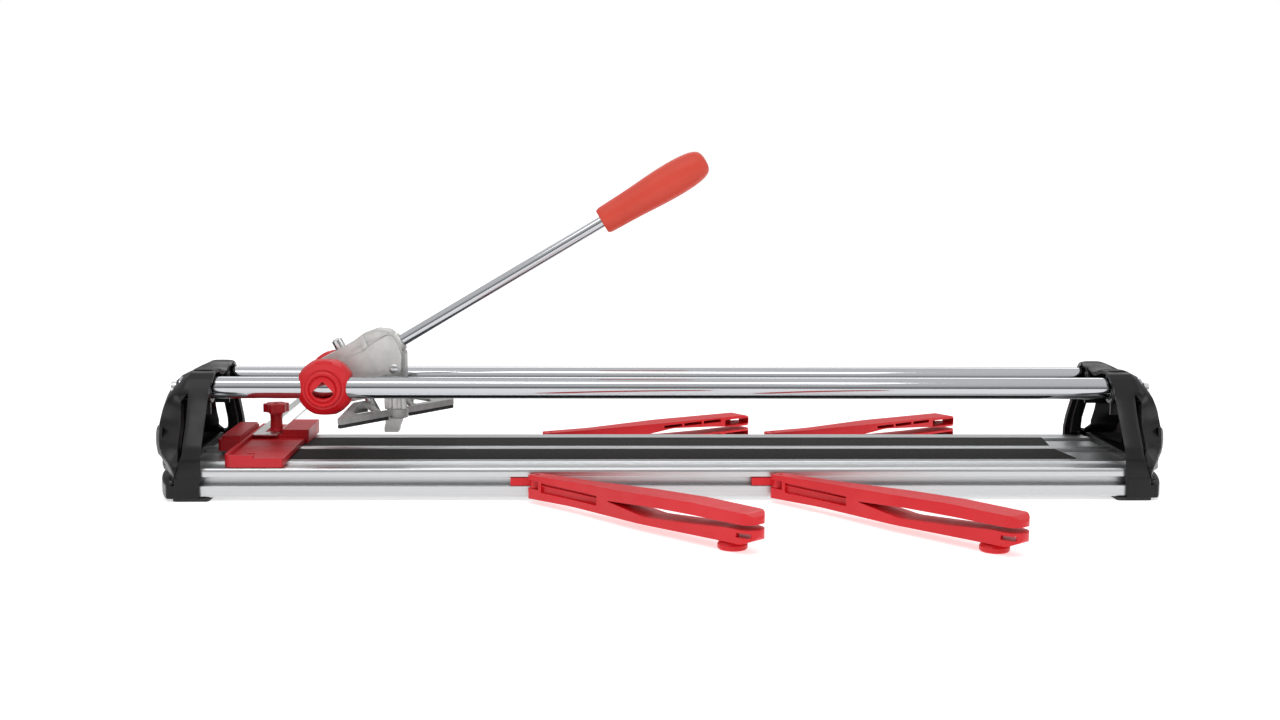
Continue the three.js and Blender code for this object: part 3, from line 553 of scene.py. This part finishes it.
def bumper_plate():
    """The plate that follows the bulge of the end wall."""
    levels = [(27.6, -0.6), (29.5, 1.4), (31.5, 2.2), (36, 2.4), (42, 2.4), (48, 2.3), (51.4, 1.8),
              (53.6, -0.6)]
    front = []
    for z, grow in levels:
        for y in np.linspace(-BUMPER_Y, BUMPER_Y, BUMPER_COLUMNS):
            edge = (abs(y) / BUMPER_Y) ** 12
            front.append((dome_x(y, z) + grow * (1 - edge) - 0.5 * edge, y, z))
    rear = [(x - 2.6, y, z) for x, y, z in front]
    n, rows = BUMPER_COLUMNS, len(levels)
    faces = []
    for offset in (0, len(front)):
        for j in range(rows - 1):
            for k in range(n - 1):
                a = offset + j * n + k
                faces.append((a, a + 1, a + n + 1, a + n))
    rim = list(range(n)) + [j * n + n - 1 for j in range(1, rows)]
    rim += [(rows - 1) * n + k for k in range(n - 2, -1, -1)]
    rim += [j * n for j in range(rows - 2, 0, -1)]
    faces += [(a, b, b + len(front), a + len(front)) for a, b in zip(rim, rim[1:] + rim[:1])]
    return shape(front + rear, faces)


def make_tower(side):
    name = "right" if side > 0 else "left"
    place = (lambda obj: obj) if side > 0 else (lambda obj: mirrored(obj, "x"))
    node = f"tower_{name}"
    verts, faces = tower_skin()
    skin = place(shape(verts, faces))
    bm = bmesh.new()
    bm.from_mesh(skin.data)
    centre = Vector((side * 385 * MM, 0, 45 * MM))
    outward = sum(1 if f.normal.dot(f.calc_center_median() - centre) > 0 else -1 for f in bm.faces)
    if outward < 0:
        bmesh.ops.reverse_faces(bm, faces=bm.faces)
    bm.to_mesh(skin.data)
    bm.free()
    thick = skin.modifiers.new("wall", "SOLIDIFY")
    thick.thickness = SKIN_WALL * MM
    thick.offset = -1
    thick.use_even_offset = False
    piece(skin, f"{node}_skin", "frame", "black_plastic", (node,), bevel=0.6)

    plan = [(371, 85, 1.5), (391, 85, 3), (397, 84.4, 3)]
    for y in (76, 66, 56, 45, 34, 22, 11, 0):
        plan.append((397 + 19 * math.cos(math.pi * y / 170) ** 0.9, y))
    outline = plan + [(p[0], -p[1], *p[2:]) for p in plan[:-1][::-1]]
    plinth = prism("z", outline, 2.2, 13.5)
    hollow = prism("z", [(360, -81.9), (386, -81.9), (386, 81.9), (360, 81.9)], -2, 25.5)
    plinth = combine(plinth, cuts=[hollow])
    piece(place(plinth), f"{node}_plinth", "frame", "black_plastic", (node,), bevel=1.0)
    for where, sign in (("near", -1), ("far", 1)):
        foot = prism("z", [(371, 85.2, 1.5), (391.3, 85.2, 3), (392.5, 80), (371, 80)], 2.3, 19)
        foot = foot if sign > 0 else mirrored(foot, "y")
        piece(place(foot), f"{node}_foot_{where}", "frame", "black_plastic", (node,), bevel=0.8)
        inner = ROD_R + 0.3
        collar = turned([(inner, 0), (12.4, 0, 1.2), (12.9, 1.2, 0.8), (12.9, 14), (inner, 14)],
                        (COLLAR_X, sign * ROD_Y, ROD_Z), (1, 0, 0))
        piece(place(collar), f"{node}_collar_{where}", "frame", "black_plastic", (node,), bevel=0.4)
        ribs = combine(block(372, 404, sign * ROD_Y - 1.3, sign * ROD_Y + 1.3, 62, 73),
                       joins=[block(402, 411, sign * 21 - 1.4, sign * 21 + 1.4, 28, 66)])
        piece(place(ribs), f"{node}_ribs_{where}", "frame", "black_plastic", (node,), bevel=0.5)
        lining = prism("x", [(78, 27), (81, 30), (76.2, 44), (68, 54), (59, 66), (52, 76), (48, 76),
                             (55, 66), (63, 54), (71, 43), (74, 30)], 374, 383)
        lining = lining if sign > 0 else mirrored(lining, "y")
        piece(place(lining), f"{node}_lining_{where}", "frame", "black_plastic", (node,), bevel=0.8)
    floor = [(385.6, 78), (396, 74), (404, 62), (410, 44), (413, 20), (413, -20), (410, -44),
             (404, -62), (396, -74), (385.6, -78)]
    sill = combine(prism("z", floor, 22, 26), joins=[block(384.2, 388, -64, 64, 24, 31)])
    piece(place(sill), f"{node}_sill", "frame", "black_plastic", (node,), bevel=0.6)

    piece(place(bumper_plate()), f"bumper_{name}_plate", "frame", "black_plastic",
          (f"bumper_{name}",), bevel=0.5)


# ---------------------------------------------------------------- rods, lever and small steel parts
def in_mm(corner):
    return Vector(corner) / MM


def joint_place(name):
    return in_mm(next(j["pos_m"] for j in frame["joints"] if j["name"] == name))


def make_rods():
    for where in ("near", "far"):
        low, high = (in_mm(c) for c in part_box(f"guide_rod_{where}"))
        y, z = (low.y + high.y) / 2, (low.z + high.z) / 2
        made = rod(ROD_R, (low.x, y, z), (high.x, y, z), 0.8, 96)
        piece(made, f"guide_rod_{where}_bar", "frame", "chrome", (f"guide_rod_{where}",), bevel=0)
        for name, side in (("left", -1), ("right", 1)):
            node = f"rod_screw_{name}_{where}"
            low_s, high_s = (in_mm(c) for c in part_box(node))
            tip = (high_s.x if side > 0 else low_s.x) - side * 3.4
            way = (side, 0, 0)
            head = turned([(0, 0), (5.0, 0), (5.0, 4.2, 0.8), (0, 4.2)], (tip - side * 4.2, y, z), way, 48)
            socket = turned([(0, 0), (2.5, 0), (2.5, 4), (0, 4)], (tip - side * 2.4, y, z), way, 6)
            head = combine(head, cuts=[socket])
            piece(head, f"{node}_head", "frame", "bright_steel", (node,), bevel=0.2)


LEVER_TILT = math.radians(30.9)
LEVER_RADIUS = 4.9
GRIP_START = 216.5
HOLDER_TOP = Vector((-271.8, 0, 115.1))
LEVER_BASE = Vector((-238, 0, 108.5))
LEVER_WAY = Vector((math.cos(LEVER_TILT), 0, math.sin(LEVER_TILT)))
PIVOT = joint_place("lever_swing")
HINGE = joint_place("breaker_swing")
WHEEL = joint_place("wheel_spin")
HOLDER_WAY = (WHEEL - HOLDER_TOP).normalized()


def make_lever():
    tube = rod(LEVER_RADIUS, LEVER_BASE + LEVER_WAY * 3, LEVER_BASE + LEVER_WAY * 298, 0.5, 72)
    piece(tube, "lever_bar", "lever", "chrome", ("lever_tube",), bevel=0)
    start = LEVER_BASE + LEVER_WAY * GRIP_START
    swell = smooth_curve([(10.6, 0.9), (11.4, 3), (11.8, 10), (12.2, 22), (12.9, 36), (13.9, 52),
                          (14.4, 66), (14.2, 78), (13.2, 88), (11.4, 94.5), (8.8, 98.2), (5, 99.8),
                          (0.01, 100.3)], 60)
    profile = [(5.1, 3), (5.1, 0.6), (6.2, 0), (9.8, 0), (10.4, 0.3)]
    profile += [tuple(p) for p in swell]
    profile += [(0, 90), (5.1, 90)]
    grip = turned(profile, start, LEVER_WAY, 96, corners=False)
    piece(grip, "grip_sleeve", "lever", "grip", ("handle_grip",), bevel=0)


def make_wheel_holder():
    top, way = HOLDER_TOP, HOLDER_WAY
    length = (WHEEL - top).length
    bar = turned([(0, -6.6), (2.4, -6.6), (3.4, -5.6, 0.4), (3.6, -5), (3.6, length - 7),
                  (3.5, length - 5.5, 0.5), (3.4, length + 1.4, 0.6), (2.3, length + 2.6),
                  (0, length + 2.6)], top, way, 48)
    slit = block(WHEEL.x - 11, WHEEL.x + 11, -1.1, 1.1, WHEEL.z - 12, WHEEL.z + 5)
    piece(combine(bar, cuts=[slit]), "wheel_bar", "lever", "bright_steel", ("wheel_holder",), bevel=0.15)
    nut = turned([(3.7, -5.6), (4.1, -5.6, 0.3), (4.5, -5.2, 0.3), (4.5, 2.4, 0.3), (3.7, 2.4)],
                 top, way, 48)
    piece(nut, "lock_nut", "lever", "bright_steel", ("holder_nut",), bevel=0.1)
    wheel = turned([(0.95, -0.8), (2.2, -0.8), (3.4, -0.55), (4.15, -0.03), (4.15, 0.03), (3.4, 0.55),
                    (2.2, 0.8), (0.95, 0.8)], WHEEL, (0, 1, 0), 96)
    piece(wheel, "scoring_disc", "wheel", "bright_steel", ("scoring_wheel",), bevel=0)
    axle = rod(0.9, WHEEL - Vector((0, 3.5, 0)), WHEEL + Vector((0, 3.5, 0)), 0.2, 32)
    piece(axle, "wheel_pin", "lever", "bright_steel", ("wheel_axle",), bevel=0)
    pin = turned([(0, -14.3), (3.0, -14.3), (3.9, -13.7, 0.4), (3.9, -13.0), (2.8, -13.0),
                  (2.8, 13.0), (3.9, 13.0), (3.9, 13.7, 0.4), (3.0, 14.3), (0, 14.3)],
                 HINGE, (0, 1, 0), 48)
    piece(pin, "breaker_rivet", "lever", "bright_steel", ("breaker_pin",), bevel=0)


def make_head():
    outline = [(-293, 101, 9), (-262, 118, 10), (-251.5, 125.6, 8), (-240, 129.9, 9),
               (-228.6, 128.8, 6), (-221.4, 121, 4), (-218.4, 109, 3), (-218.9, 96, 5), (-222, 92, 3),
               (-233, 92, 2), (-240, 89, 3), (-241, 73, 5), (-262, 69, 6), (-290, 80, 9)]
    core = prism("y", outline, -9.2, 9.2)
    lower = [(-293, 99, 9), (-266, 104.5, 6), (-249.3, 112, 5), (-245.5, 116, 3), (-229, 126.3, 5),
             (-222.8, 119.5, 5), (-218.8, 108.5, 3), (-219.3, 96, 5), (-222, 92.4, 3),
             (-233, 92.4, 2), (-240.4, 89.4, 3), (-241.4, 73.4, 5), (-262, 69.4, 6), (-290, 80.4, 9)]
    panel = prism("y", lower, -12.9, 12.9)
    ribs = prism("y", [(-253.4, 123.6), (-250.2, 125.6), (-246.8, 115.6), (-249.8, 113.4)],
                 -12.0, 12.0)
    crown = prism("y", [(-262, 116.6, 4), (-251.6, 124.6, 6), (-240, 128.6, 8), (-230, 127.4, 5),
                        (-232, 125), (-246, 121), (-262, 112)], -10.4, 10.4)
    hub = turned([(0, -20.2), (16, -20.2, 0.8), (16, 20.2, 0.8), (0, 20.2)], PIVOT, (0, 1, 0), 96)
    socket = turned([(0, 0), (11, 0), (8.4, 21.5, 1), (7.2, 23.6), (0, 23.6)],
                    LEVER_BASE - LEVER_WAY * 2, LEVER_WAY, 64)
    top, way = HOLDER_TOP, HOLDER_WAY
    boss = turned([(0, 0), (7.4, 0), (7.2, 12.4, 0.8), (0, 12.4)], top + way * 36, way, 48)
    fork = block(HINGE.x - 13, HINGE.x + 8, -7, 7, 60, HINGE.z + 9)
    under = block(-250, -200, -30, 30, 50, 71)
    nick = prism("y", [(-237.6, 89.0), (-229.4, 92.6), (-231.2, 90.2), (-236, 86)], -30, 30)
    bore = rod(5.1, LEVER_BASE, LEVER_BASE + LEVER_WAY * 60)
    tunnel = rod(4.0, top - way * 20, top + way * 70, 0, 48)
    aside = Vector((0, 30, 0))
    shaft = rod(5.2, PIVOT - aside, PIVOT + aside, 0, 48)
    hole = rod(3.0, HINGE - aside, HINGE + aside, 0, 48)
    casting = combine(core, joins=[panel, ribs, crown, hub, socket, boss],
                      cuts=[fork, under, nick, bore, tunnel, shaft, hole])
    piece(casting, "head_body", "lever", "cast_aluminium", ("head_casting",), bevel=0.9)
    lug = prism("y", [(-218.6, 87.4, 1), (-216.2, 87.4, 1), (-216.2, 109.5, 2), (-219.4, 113, 1)],
                -9.6, 9.6)
    piece(lug, "head_back_plate", "lever", "grey_plastic", bevel=0.4)


def make_sliders():
    for where, sign in (("near", -1), ("far", 1)):
        x0, z0 = PIVOT.x, PIVOT.z
        shell = turned([(0, 21), (21, 21, 1.6), (23.6, 23.4, 1.4), (23.6, 33.4, 3), (21.6, 39, 5),
                        (16.6, 44.6, 1.5), (0, 44.6)], (x0, 0, z0), (0, 1, 0), 128)
        trim = [(x0 - 21, 66, 4), (x0 - 13, 62.4, 6), (x0 + 13, 62.4, 6), (x0 + 21, 66, 4),
                (x0 + 21, 100, 4), (x0 + 13, 106.6, 6), (x0 - 13, 106.6, 6), (x0 - 21, 100, 4)]
        shell = combine(shell, keep=[prism("y", trim, 20, 50)])
        band = combine(turned([(19.4, 30), (23.0, 30), (23.0, 39.4, 1.0), (21.4, 40.2, 0.6), (19.4, 40.2)],
                              (x0, 0, z0), (0, 1, 0), 128),
                       keep=[prism("y", [(x0, z0 + 6), (x0 + 15, z0 + 40), (x0 - 15, z0 + 40)], 20, 50)])
        way = rod(ROD_R + 0.3, (x0 - 60, ROD_Y, ROD_Z), (x0 + 60, ROD_Y, ROD_Z))
        seat = turned([(0, 43.0), (15.1, 43.0), (15.1, 60), (0, 60)], (x0, 0, z0), (0, 1, 0), 96)
        axle = rod(5.3, (x0, 10, z0), (x0, 24.4, z0), 0, 48)
        opening = [(x0 - 9.4, 81.2, 1.6), (x0, 91.2, 1.4), (x0 + 9.4, 81.2, 1.6),
                   (x0 + 6, 77.6, 3), (x0, 76.2, 4), (x0 - 6, 77.6, 3)]
        window = prism("y", opening, ROD_Y, 70)
        body = combine(shell, joins=[band], cuts=[way, seat, axle, window])
        cap = turned([(0, 43.2), (14.9, 43.2), (14.9, 46.2, 1.4), (13.2, 47.5, 1.0),
                      (11.8, 47.2, 0.5), (11.2, 45.6, 0.3), (10.6, 45.4, 0.3), (10.0, 46.6, 0.5),
                      (8.8, 46.9), (0, 46.9)], (x0, 0, z0), (0, 1, 0), 96)
        cap = combine(cap, cuts=[prism("y", opening, 30, 70)])
        for made, part, node in ((body, "shell", f"slider_{where}"), (cap, "ring", f"slider_cap_{where}")):
            made = made if sign > 0 else mirrored(made, "y")
            piece(made, f"slider_{where}_{part}", "carriage", "red_plastic", (node,), bevel=0.5)


# ---------------------------------------------------------------- stop, ruler and knob
STOP_LEFT, STOP_RIGHT = -353, -306
RULER_SLOT_LEFT = -341.7
PAD_UNDER_STOP = 7.6                  # how far the pads run on under the stop


def ridge_channel():
    """The channel that keeps the stop clear of the breaking ridge."""
    return block(-400, -280, -4.9, 4.9, 20, 30.8)


def make_stop():
    left, right = STOP_LEFT, STOP_RIGHT
    deck = prism("z", [(left, -80, 9), (right, -80, 2), (right, 23), (left, 23)], 28.6, 33.0)
    back = prism("z", [(left, 21), (right + 3, 21, 1), (right + 3, 78, 2), (left, 78, 2)], 28.6, 35.5)
    raised = prism("z", [(-325.6, 22, 1.2), (right + 3, 22, 1.2), (right + 3, 78, 2),
                         (-325.6, 78, 2)], 33, 40)
    border = prism("z", [(left, -80, 9), (left + 24, -80), (left + 24, -76.6), (left + 3, -76.6, 6),
                         (left + 3, 78), (left, 78, 1)], 32.5, 36.4)
    lip = prism("z", [(left + 23, -80), (right, -80, 1.5), (right, -77), (left + 23, -77)],
                32.5, 34.2)
    apron = prism("z", [(left, -80, 9), (right, -80, 2), (right, -62), (left, -62)], 26.7, 30)
    notch = prism("z", [(left + 12, -52, 1), (left + 17, -57, 1), (left + 22, -52, 1)], 32.4, 40)
    plate = combine(deck, joins=[back, raised, border, lip, apron], cuts=[notch])
    plate = combine(plate, cuts=[ridge_channel()])
    piece(plate, "stop_deck", "frame", "dark_red", ("stop_plate",), bevel=0.9)
    low, high = (in_mm(c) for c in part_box("stop_block"))
    lower = prism("z", [(low.x, low.y, 3), (high.x, low.y, 1), (high.x, high.y, 1), (low.x, high.y, 3)],
                  low.z, 38.6)
    upper = prism("z", [(low.x + 2.5, low.y + 3, 2), (high.x, low.y + 3, 1), (high.x, high.y - 6, 1),
                        (low.x + 2.5, high.y - 6, 2)], 38, high.z)
    rear = combine(lower, joins=[upper], cuts=[ridge_channel(), block(-400, -280, 50.3, 80, 20, 28.6)])
    piece(rear, "stop_rear_block", "frame", "dark_red", ("stop_block",), bevel=0.8)


def make_ruler_and_knob():
    low, high = (in_mm(c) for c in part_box("ruler"))
    knob = joint_place("knob_turn")
    left, right = RULER_SLOT_LEFT, knob.x + 2.4
    blade = prism("z", [(low.x, low.y, 1.5), (high.x, low.y, 1.5), (high.x, high.y, 1.5),
                        (low.x, high.y, 1.5)], low.z, high.z)
    slot = prism("z", [(left, knob.y - 4, 2.4), (right, knob.y - 4, 2.4), (right, high.y - 12, 2.4),
                       (left, high.y - 12, 2.4)], 30, 40)
    piece(combine(blade, cuts=[slot]), "ruler_blade", "ruler", "ruler_steel", ("ruler",), bevel=0.2)
    stem = turned([(2.4, 37.3), (6.0, 37.3, 0.4), (5.3, 39.4, 0.6), (5.0, 46), (5.3, 51.8, 0.8),
                   (6.6, 53.6, 0.6), (8.8, 54.4), (8.8, 60.6, 0.8), (7.4, 61.7, 0.6), (4.0, 61.2),
                   (2.4, 61.2)], (knob.x, knob.y, 0), (0, 0, 1), 72)
    rim = []
    for k in range(120):
        angle = 2 * math.pi * k / 120
        radius = 10.0 + 0.95 * math.cos(6 * (angle - 0.3))
        rim.append((knob.x + radius * math.cos(angle), knob.y + radius * math.sin(angle)))
    dish = turned([(0, 60.2), (6.4, 60.2), (7.6, 62), (0, 62)], (knob.x, knob.y, 0), (0, 0, 1), 72)
    bore = rod(3.0, (knob.x, knob.y, 50), (knob.x, knob.y, 58), 0, 48)
    head = combine(prism("z", rim, 54.2, 61.2), cuts=[dish, bore])
    grip = combine(stem, joins=[head])
    piece(grip, "knob_body", "knob", "dark_red", ("clamp_knob",), bevel=0.7)
    stud = rod(2.1, (knob.x, knob.y, 31), (knob.x, knob.y, 49.4), 0.3, 48)
    piece(stud, "knob_stud", "frame", "bright_steel", ("clamp_stud",), bevel=0)


def make_pads():
    for where, sign in (("near", -1), ("far", 1)):
        low, high = (in_mm(c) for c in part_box(f"pad_{where}"))
        inner, outer = sorted((abs(low.y), abs(high.y)))
        left, right = low.x - PAD_UNDER_STOP, high.x
        pad = prism("z", [(left, inner), (right - 5.2, inner, 1), (right, outer - 4, 1),
                          (right, outer, 0.6), (left, outer)], low.z, high.z)
        pad = pad if sign > 0 else mirrored(pad, "y")
        piece(pad, f"pad_{where}_sheet", "frame", "pad", (f"pad_{where}",), bevel=0.4)


# ---------------------------------------------------------------- breaker
WINGS_TURN = math.radians(53.7)
WING_LENGTH = 69
SWIVEL = joint_place("wings_swivel")


def make_breaker():
    side = [(HINGE.x - 7, HINGE.z + 3, 6), (HINGE.x + 6.5, HINGE.z + 6.5, 6), (HINGE.x + 6.5, 71, 3),
            (-216.6, 63, 2), (-220.6, 50, 2), (-222.2, 46.6, 1), (-222.6, 42.8, 0.6),
            (-234.6, 42.8, 0.6), (-234.6, 47.2, 0.6), (-233.6, 50, 2), (-234.4, 70, 3),
            (HINGE.x - 7, 84, 4)]
    body = prism("y", side, -6.5, 6.5)
    flutes = [turned([(0, 56), (2.3, 56, 1.5), (2.3, 86, 1.5), (0, 86)], (x, -7.4, 0), (0, 0, 1), 40)
              for x in (-229.4, -222)]
    aside = Vector((0, 30, 0))
    hole = rod(3.1, HINGE - aside, HINGE + aside, 0, 48)
    neck = rod(5.0, (SWIVEL.x, 0, 50), (SWIVEL.x, 0, 66), 0, 48)
    slotted = combine(block(-245, -200, -20, 20, 54.4, 62.4),
                      cuts=[neck, block(-240, -228.9, -7, -6.4, 50, 60)])
    foot = combine(body, cuts=[*flutes, hole, slotted])
    piece(foot, "breaker_shoe", "breaker", "cast_aluminium", ("breaker_foot",), bevel=0.7)

    turn = Matrix.Translation(Vector((SWIVEL.x, 0, 0)) * MM) @ Matrix.Rotation(WINGS_TURN, 4, "Z")
    ring = rod(9, (0, 0, 54.7), (0, 0, 62.1), 0.8, 72)
    bar = block(-WING_LENGTH, WING_LENGTH, -2, 1.4, 57.1, 62.1)
    wings = combine(ring, joins=[bar])
    for s in (-1, 1):
        tip = s * WING_LENGTH
        plan = [(tip, -2, 0.6), (tip, 1.4, 0.6), (s * 36, 16, 2), (s * 21, 16, 2), (s * 18, -2)]
        slab = prism("x", [(-2, 57), (17, 67.4), (17, 70.4), (-2, 60)], -90, 90)
        hole = prism("z", [(s * 53, 3, 2), (s * 35, 11.5, 3), (s * 26, 11.5, 3), (s * 24, 3, 2)], 40, 90)
        web = block(min(s * 21, s * 35), max(s * 21, s * 35), 14, 15.9, 60.5, 69)
        leaf = combine(slab, keep=[prism("z", plan, 40, 90)])
        wings = combine(wings, joins=[combine(leaf, cuts=[hole]), web])
    wings = combine(wings, cuts=[rod(5.3, (0, 0, 50), (0, 0, 80), 0, 48)])
    wings.data.transform(turn)
    piece(wings, "wing_casting", "wings", "grey_plastic", ("breaker_wings",), bevel=0.5)
    for name, s in (("left", -1), ("right", 1)):
        tip = s * WING_LENGTH
        strip = prism("z", [(s * 13, -2), (tip, -2, 0.5), (tip, 1.4, 0.5), (s * 13, 1.4)], 54, 56.8)
        strip.data.transform(turn)
        piece(strip, f"wing_pad_{name}", "wings", "rubber", (f"wing_strip_{name}",), bevel=0.4)


# ---------------------------------------------------------------- swing-out supports
ARM_END = 231.5
ARM_FOOT = 206
ARM_SKIN = 7.6
ROLL_Z = 15.3
RIB_PITCH, RIB_GAP = 24, 21.6
ARM_DEGREES = {"near_left": -46.9, "near_right": -50.6, "far_left": 34.6, "far_right": 33.6}


def arm_shape(rolled):
    side = [(-6.5, 3.8, 2), (42, 5.2, 30), (131, 5.8, 60), (ARM_END - 8, 7.4, 12), (ARM_END, 11, 4),
            (ARM_END, 17.4, 1.2), (210, 17.4, 30), (178, 14.6, 60), (131, 11.6, 60), (86, 16.7, 0.3),
            (133, 20, 60), (178, 20.9, 60), (210, 21, 30), (ARM_END, 21.2, 1), (ARM_END, 26, 3.5),
            (ARM_END - 6, 29.5, 5), (172, 29.8, 60), (131, 28.3, 90), (42, 24.6, 60), (-6.5, 22.8, 2)]
    plan = [(-6.5, -6, 3), (51, -6.4, 60), (121, -11.5, 60), (ARM_END, -11, 10.5),
            (ARM_END, 11, 10.5), (121, 11.5, 60), (51, 6.4, 60), (-6.5, 6, 3)]
    body = combine(prism("y", side, -14, 14), keep=[prism("z", plan, 0, 40)])
    recess = prism("y", [(10.5, 10.6, 0.6), (76, 10.9, 0.6), (76, 18.4, 0.6), (10.5, 18.4, 0.6)],
                   -9, -4.2)
    recess = combine(recess, cuts=[block(0, 80, -6.6, 0, 15.9, 16.5)])
    cuts = [recess, block(196, ARM_END - 3.5, -ARM_SKIN, 20, 9.8, 15.8),
            block(196, ARM_END - 3.5, -ARM_SKIN, 20, 22.8, 27),
            block(ARM_END - 13, ARM_END - 1.5, -20, 1 - ARM_SKIN, 12, 15.2)]
    for first, bottom, top in ((97, 22.2, 26), (121, 8.2, 11.0)):
        for start in range(first, 181, RIB_PITCH):
            cuts.append(block(start, start + RIB_GAP, -ARM_SKIN, 20, bottom, top))
    body = combine(body, cuts=cuts)
    if rolled:
        over = Matrix.Rotation(math.pi, 4, "X")
        body.data.transform(Matrix.Translation((0, 0, 2 * ROLL_Z * MM)) @ over)
    cuts = [block(-20, 7.2, -20, 20, 12.2, 19), rod(2.05, (0, 0, -1), (0, 0, 40), 0, 32)]
    if rolled:
        cuts.append(rod(8.3, (ARM_FOOT, 0, -1), (ARM_FOOT, 0, 5.3), 0, 72))
    return combine(body, cuts=cuts)


def make_arms():
    for name, degrees in ARM_DEGREES.items():
        rolled = degrees > 0
        hinge = joint_place(f"arm_{name}_swing")
        turn = (Matrix.Translation(Vector((hinge.x, hinge.y, 0)) * MM)
                @ Matrix.Rotation(math.radians(degrees), 4, "Z"))
        made = arm_shape(rolled)
        if rolled:
            sole = [(0, 0), (7.2, 0), (8, 0.8), (8, 5), (0, 5)]
        else:
            sole = [(0, 0), (9.8, 0, 0.5), (10.7, 1.2, 0.5), (10.7, 3.8, 0.5), (9.9, 4.6), (9.9, 6.2),
                    (0, 6.2)]
        foot = turned(sole, (ARM_FOOT, 0, 0), (0, 0, 1), 72)
        raised = 3 if rolled else 0
        pin = rod(2, (0, 0, 5.2 + raised), (0, 0, 22.6 + raised), 0.4, 40)
        for obj in (made, foot, pin):
            obj.data.transform(turn)
        body = f"arm_{name}"
        piece(made, f"{body}_moulding", body, "red_plastic", (body,), bevel=0.7)
        piece(foot, f"{body}_puck", body, "red_plastic", (f"arm_foot_{name}",), bevel=0)
        piece(pin, f"{body}_pivot", "frame", "bright_steel", (f"arm_pin_{name}",), bevel=0)


def soften_cad_nodes():
    """Softens the sharp edges of the CAD nodes that stay on show."""
    for name, obj in frame["nodes"].items():
        if not obj.hide_render:
            soft_edges(obj, CAD_BEVEL, CAD_BEVEL_STEPS, CAD_BEVEL_ANGLE)


dress_cad_nodes()
for side in (-1, 1):
    make_tower(side)
make_rods()
make_lever()
make_wheel_holder()
make_head()
make_sliders()
make_stop()
make_ruler_and_knob()
make_pads()
make_breaker()
make_arms()
soften_cad_nodes()
bpy.context.scene.view_settings.view_transform = "Standard"
make_stage()
make_world()
make_lights()
make_camera()
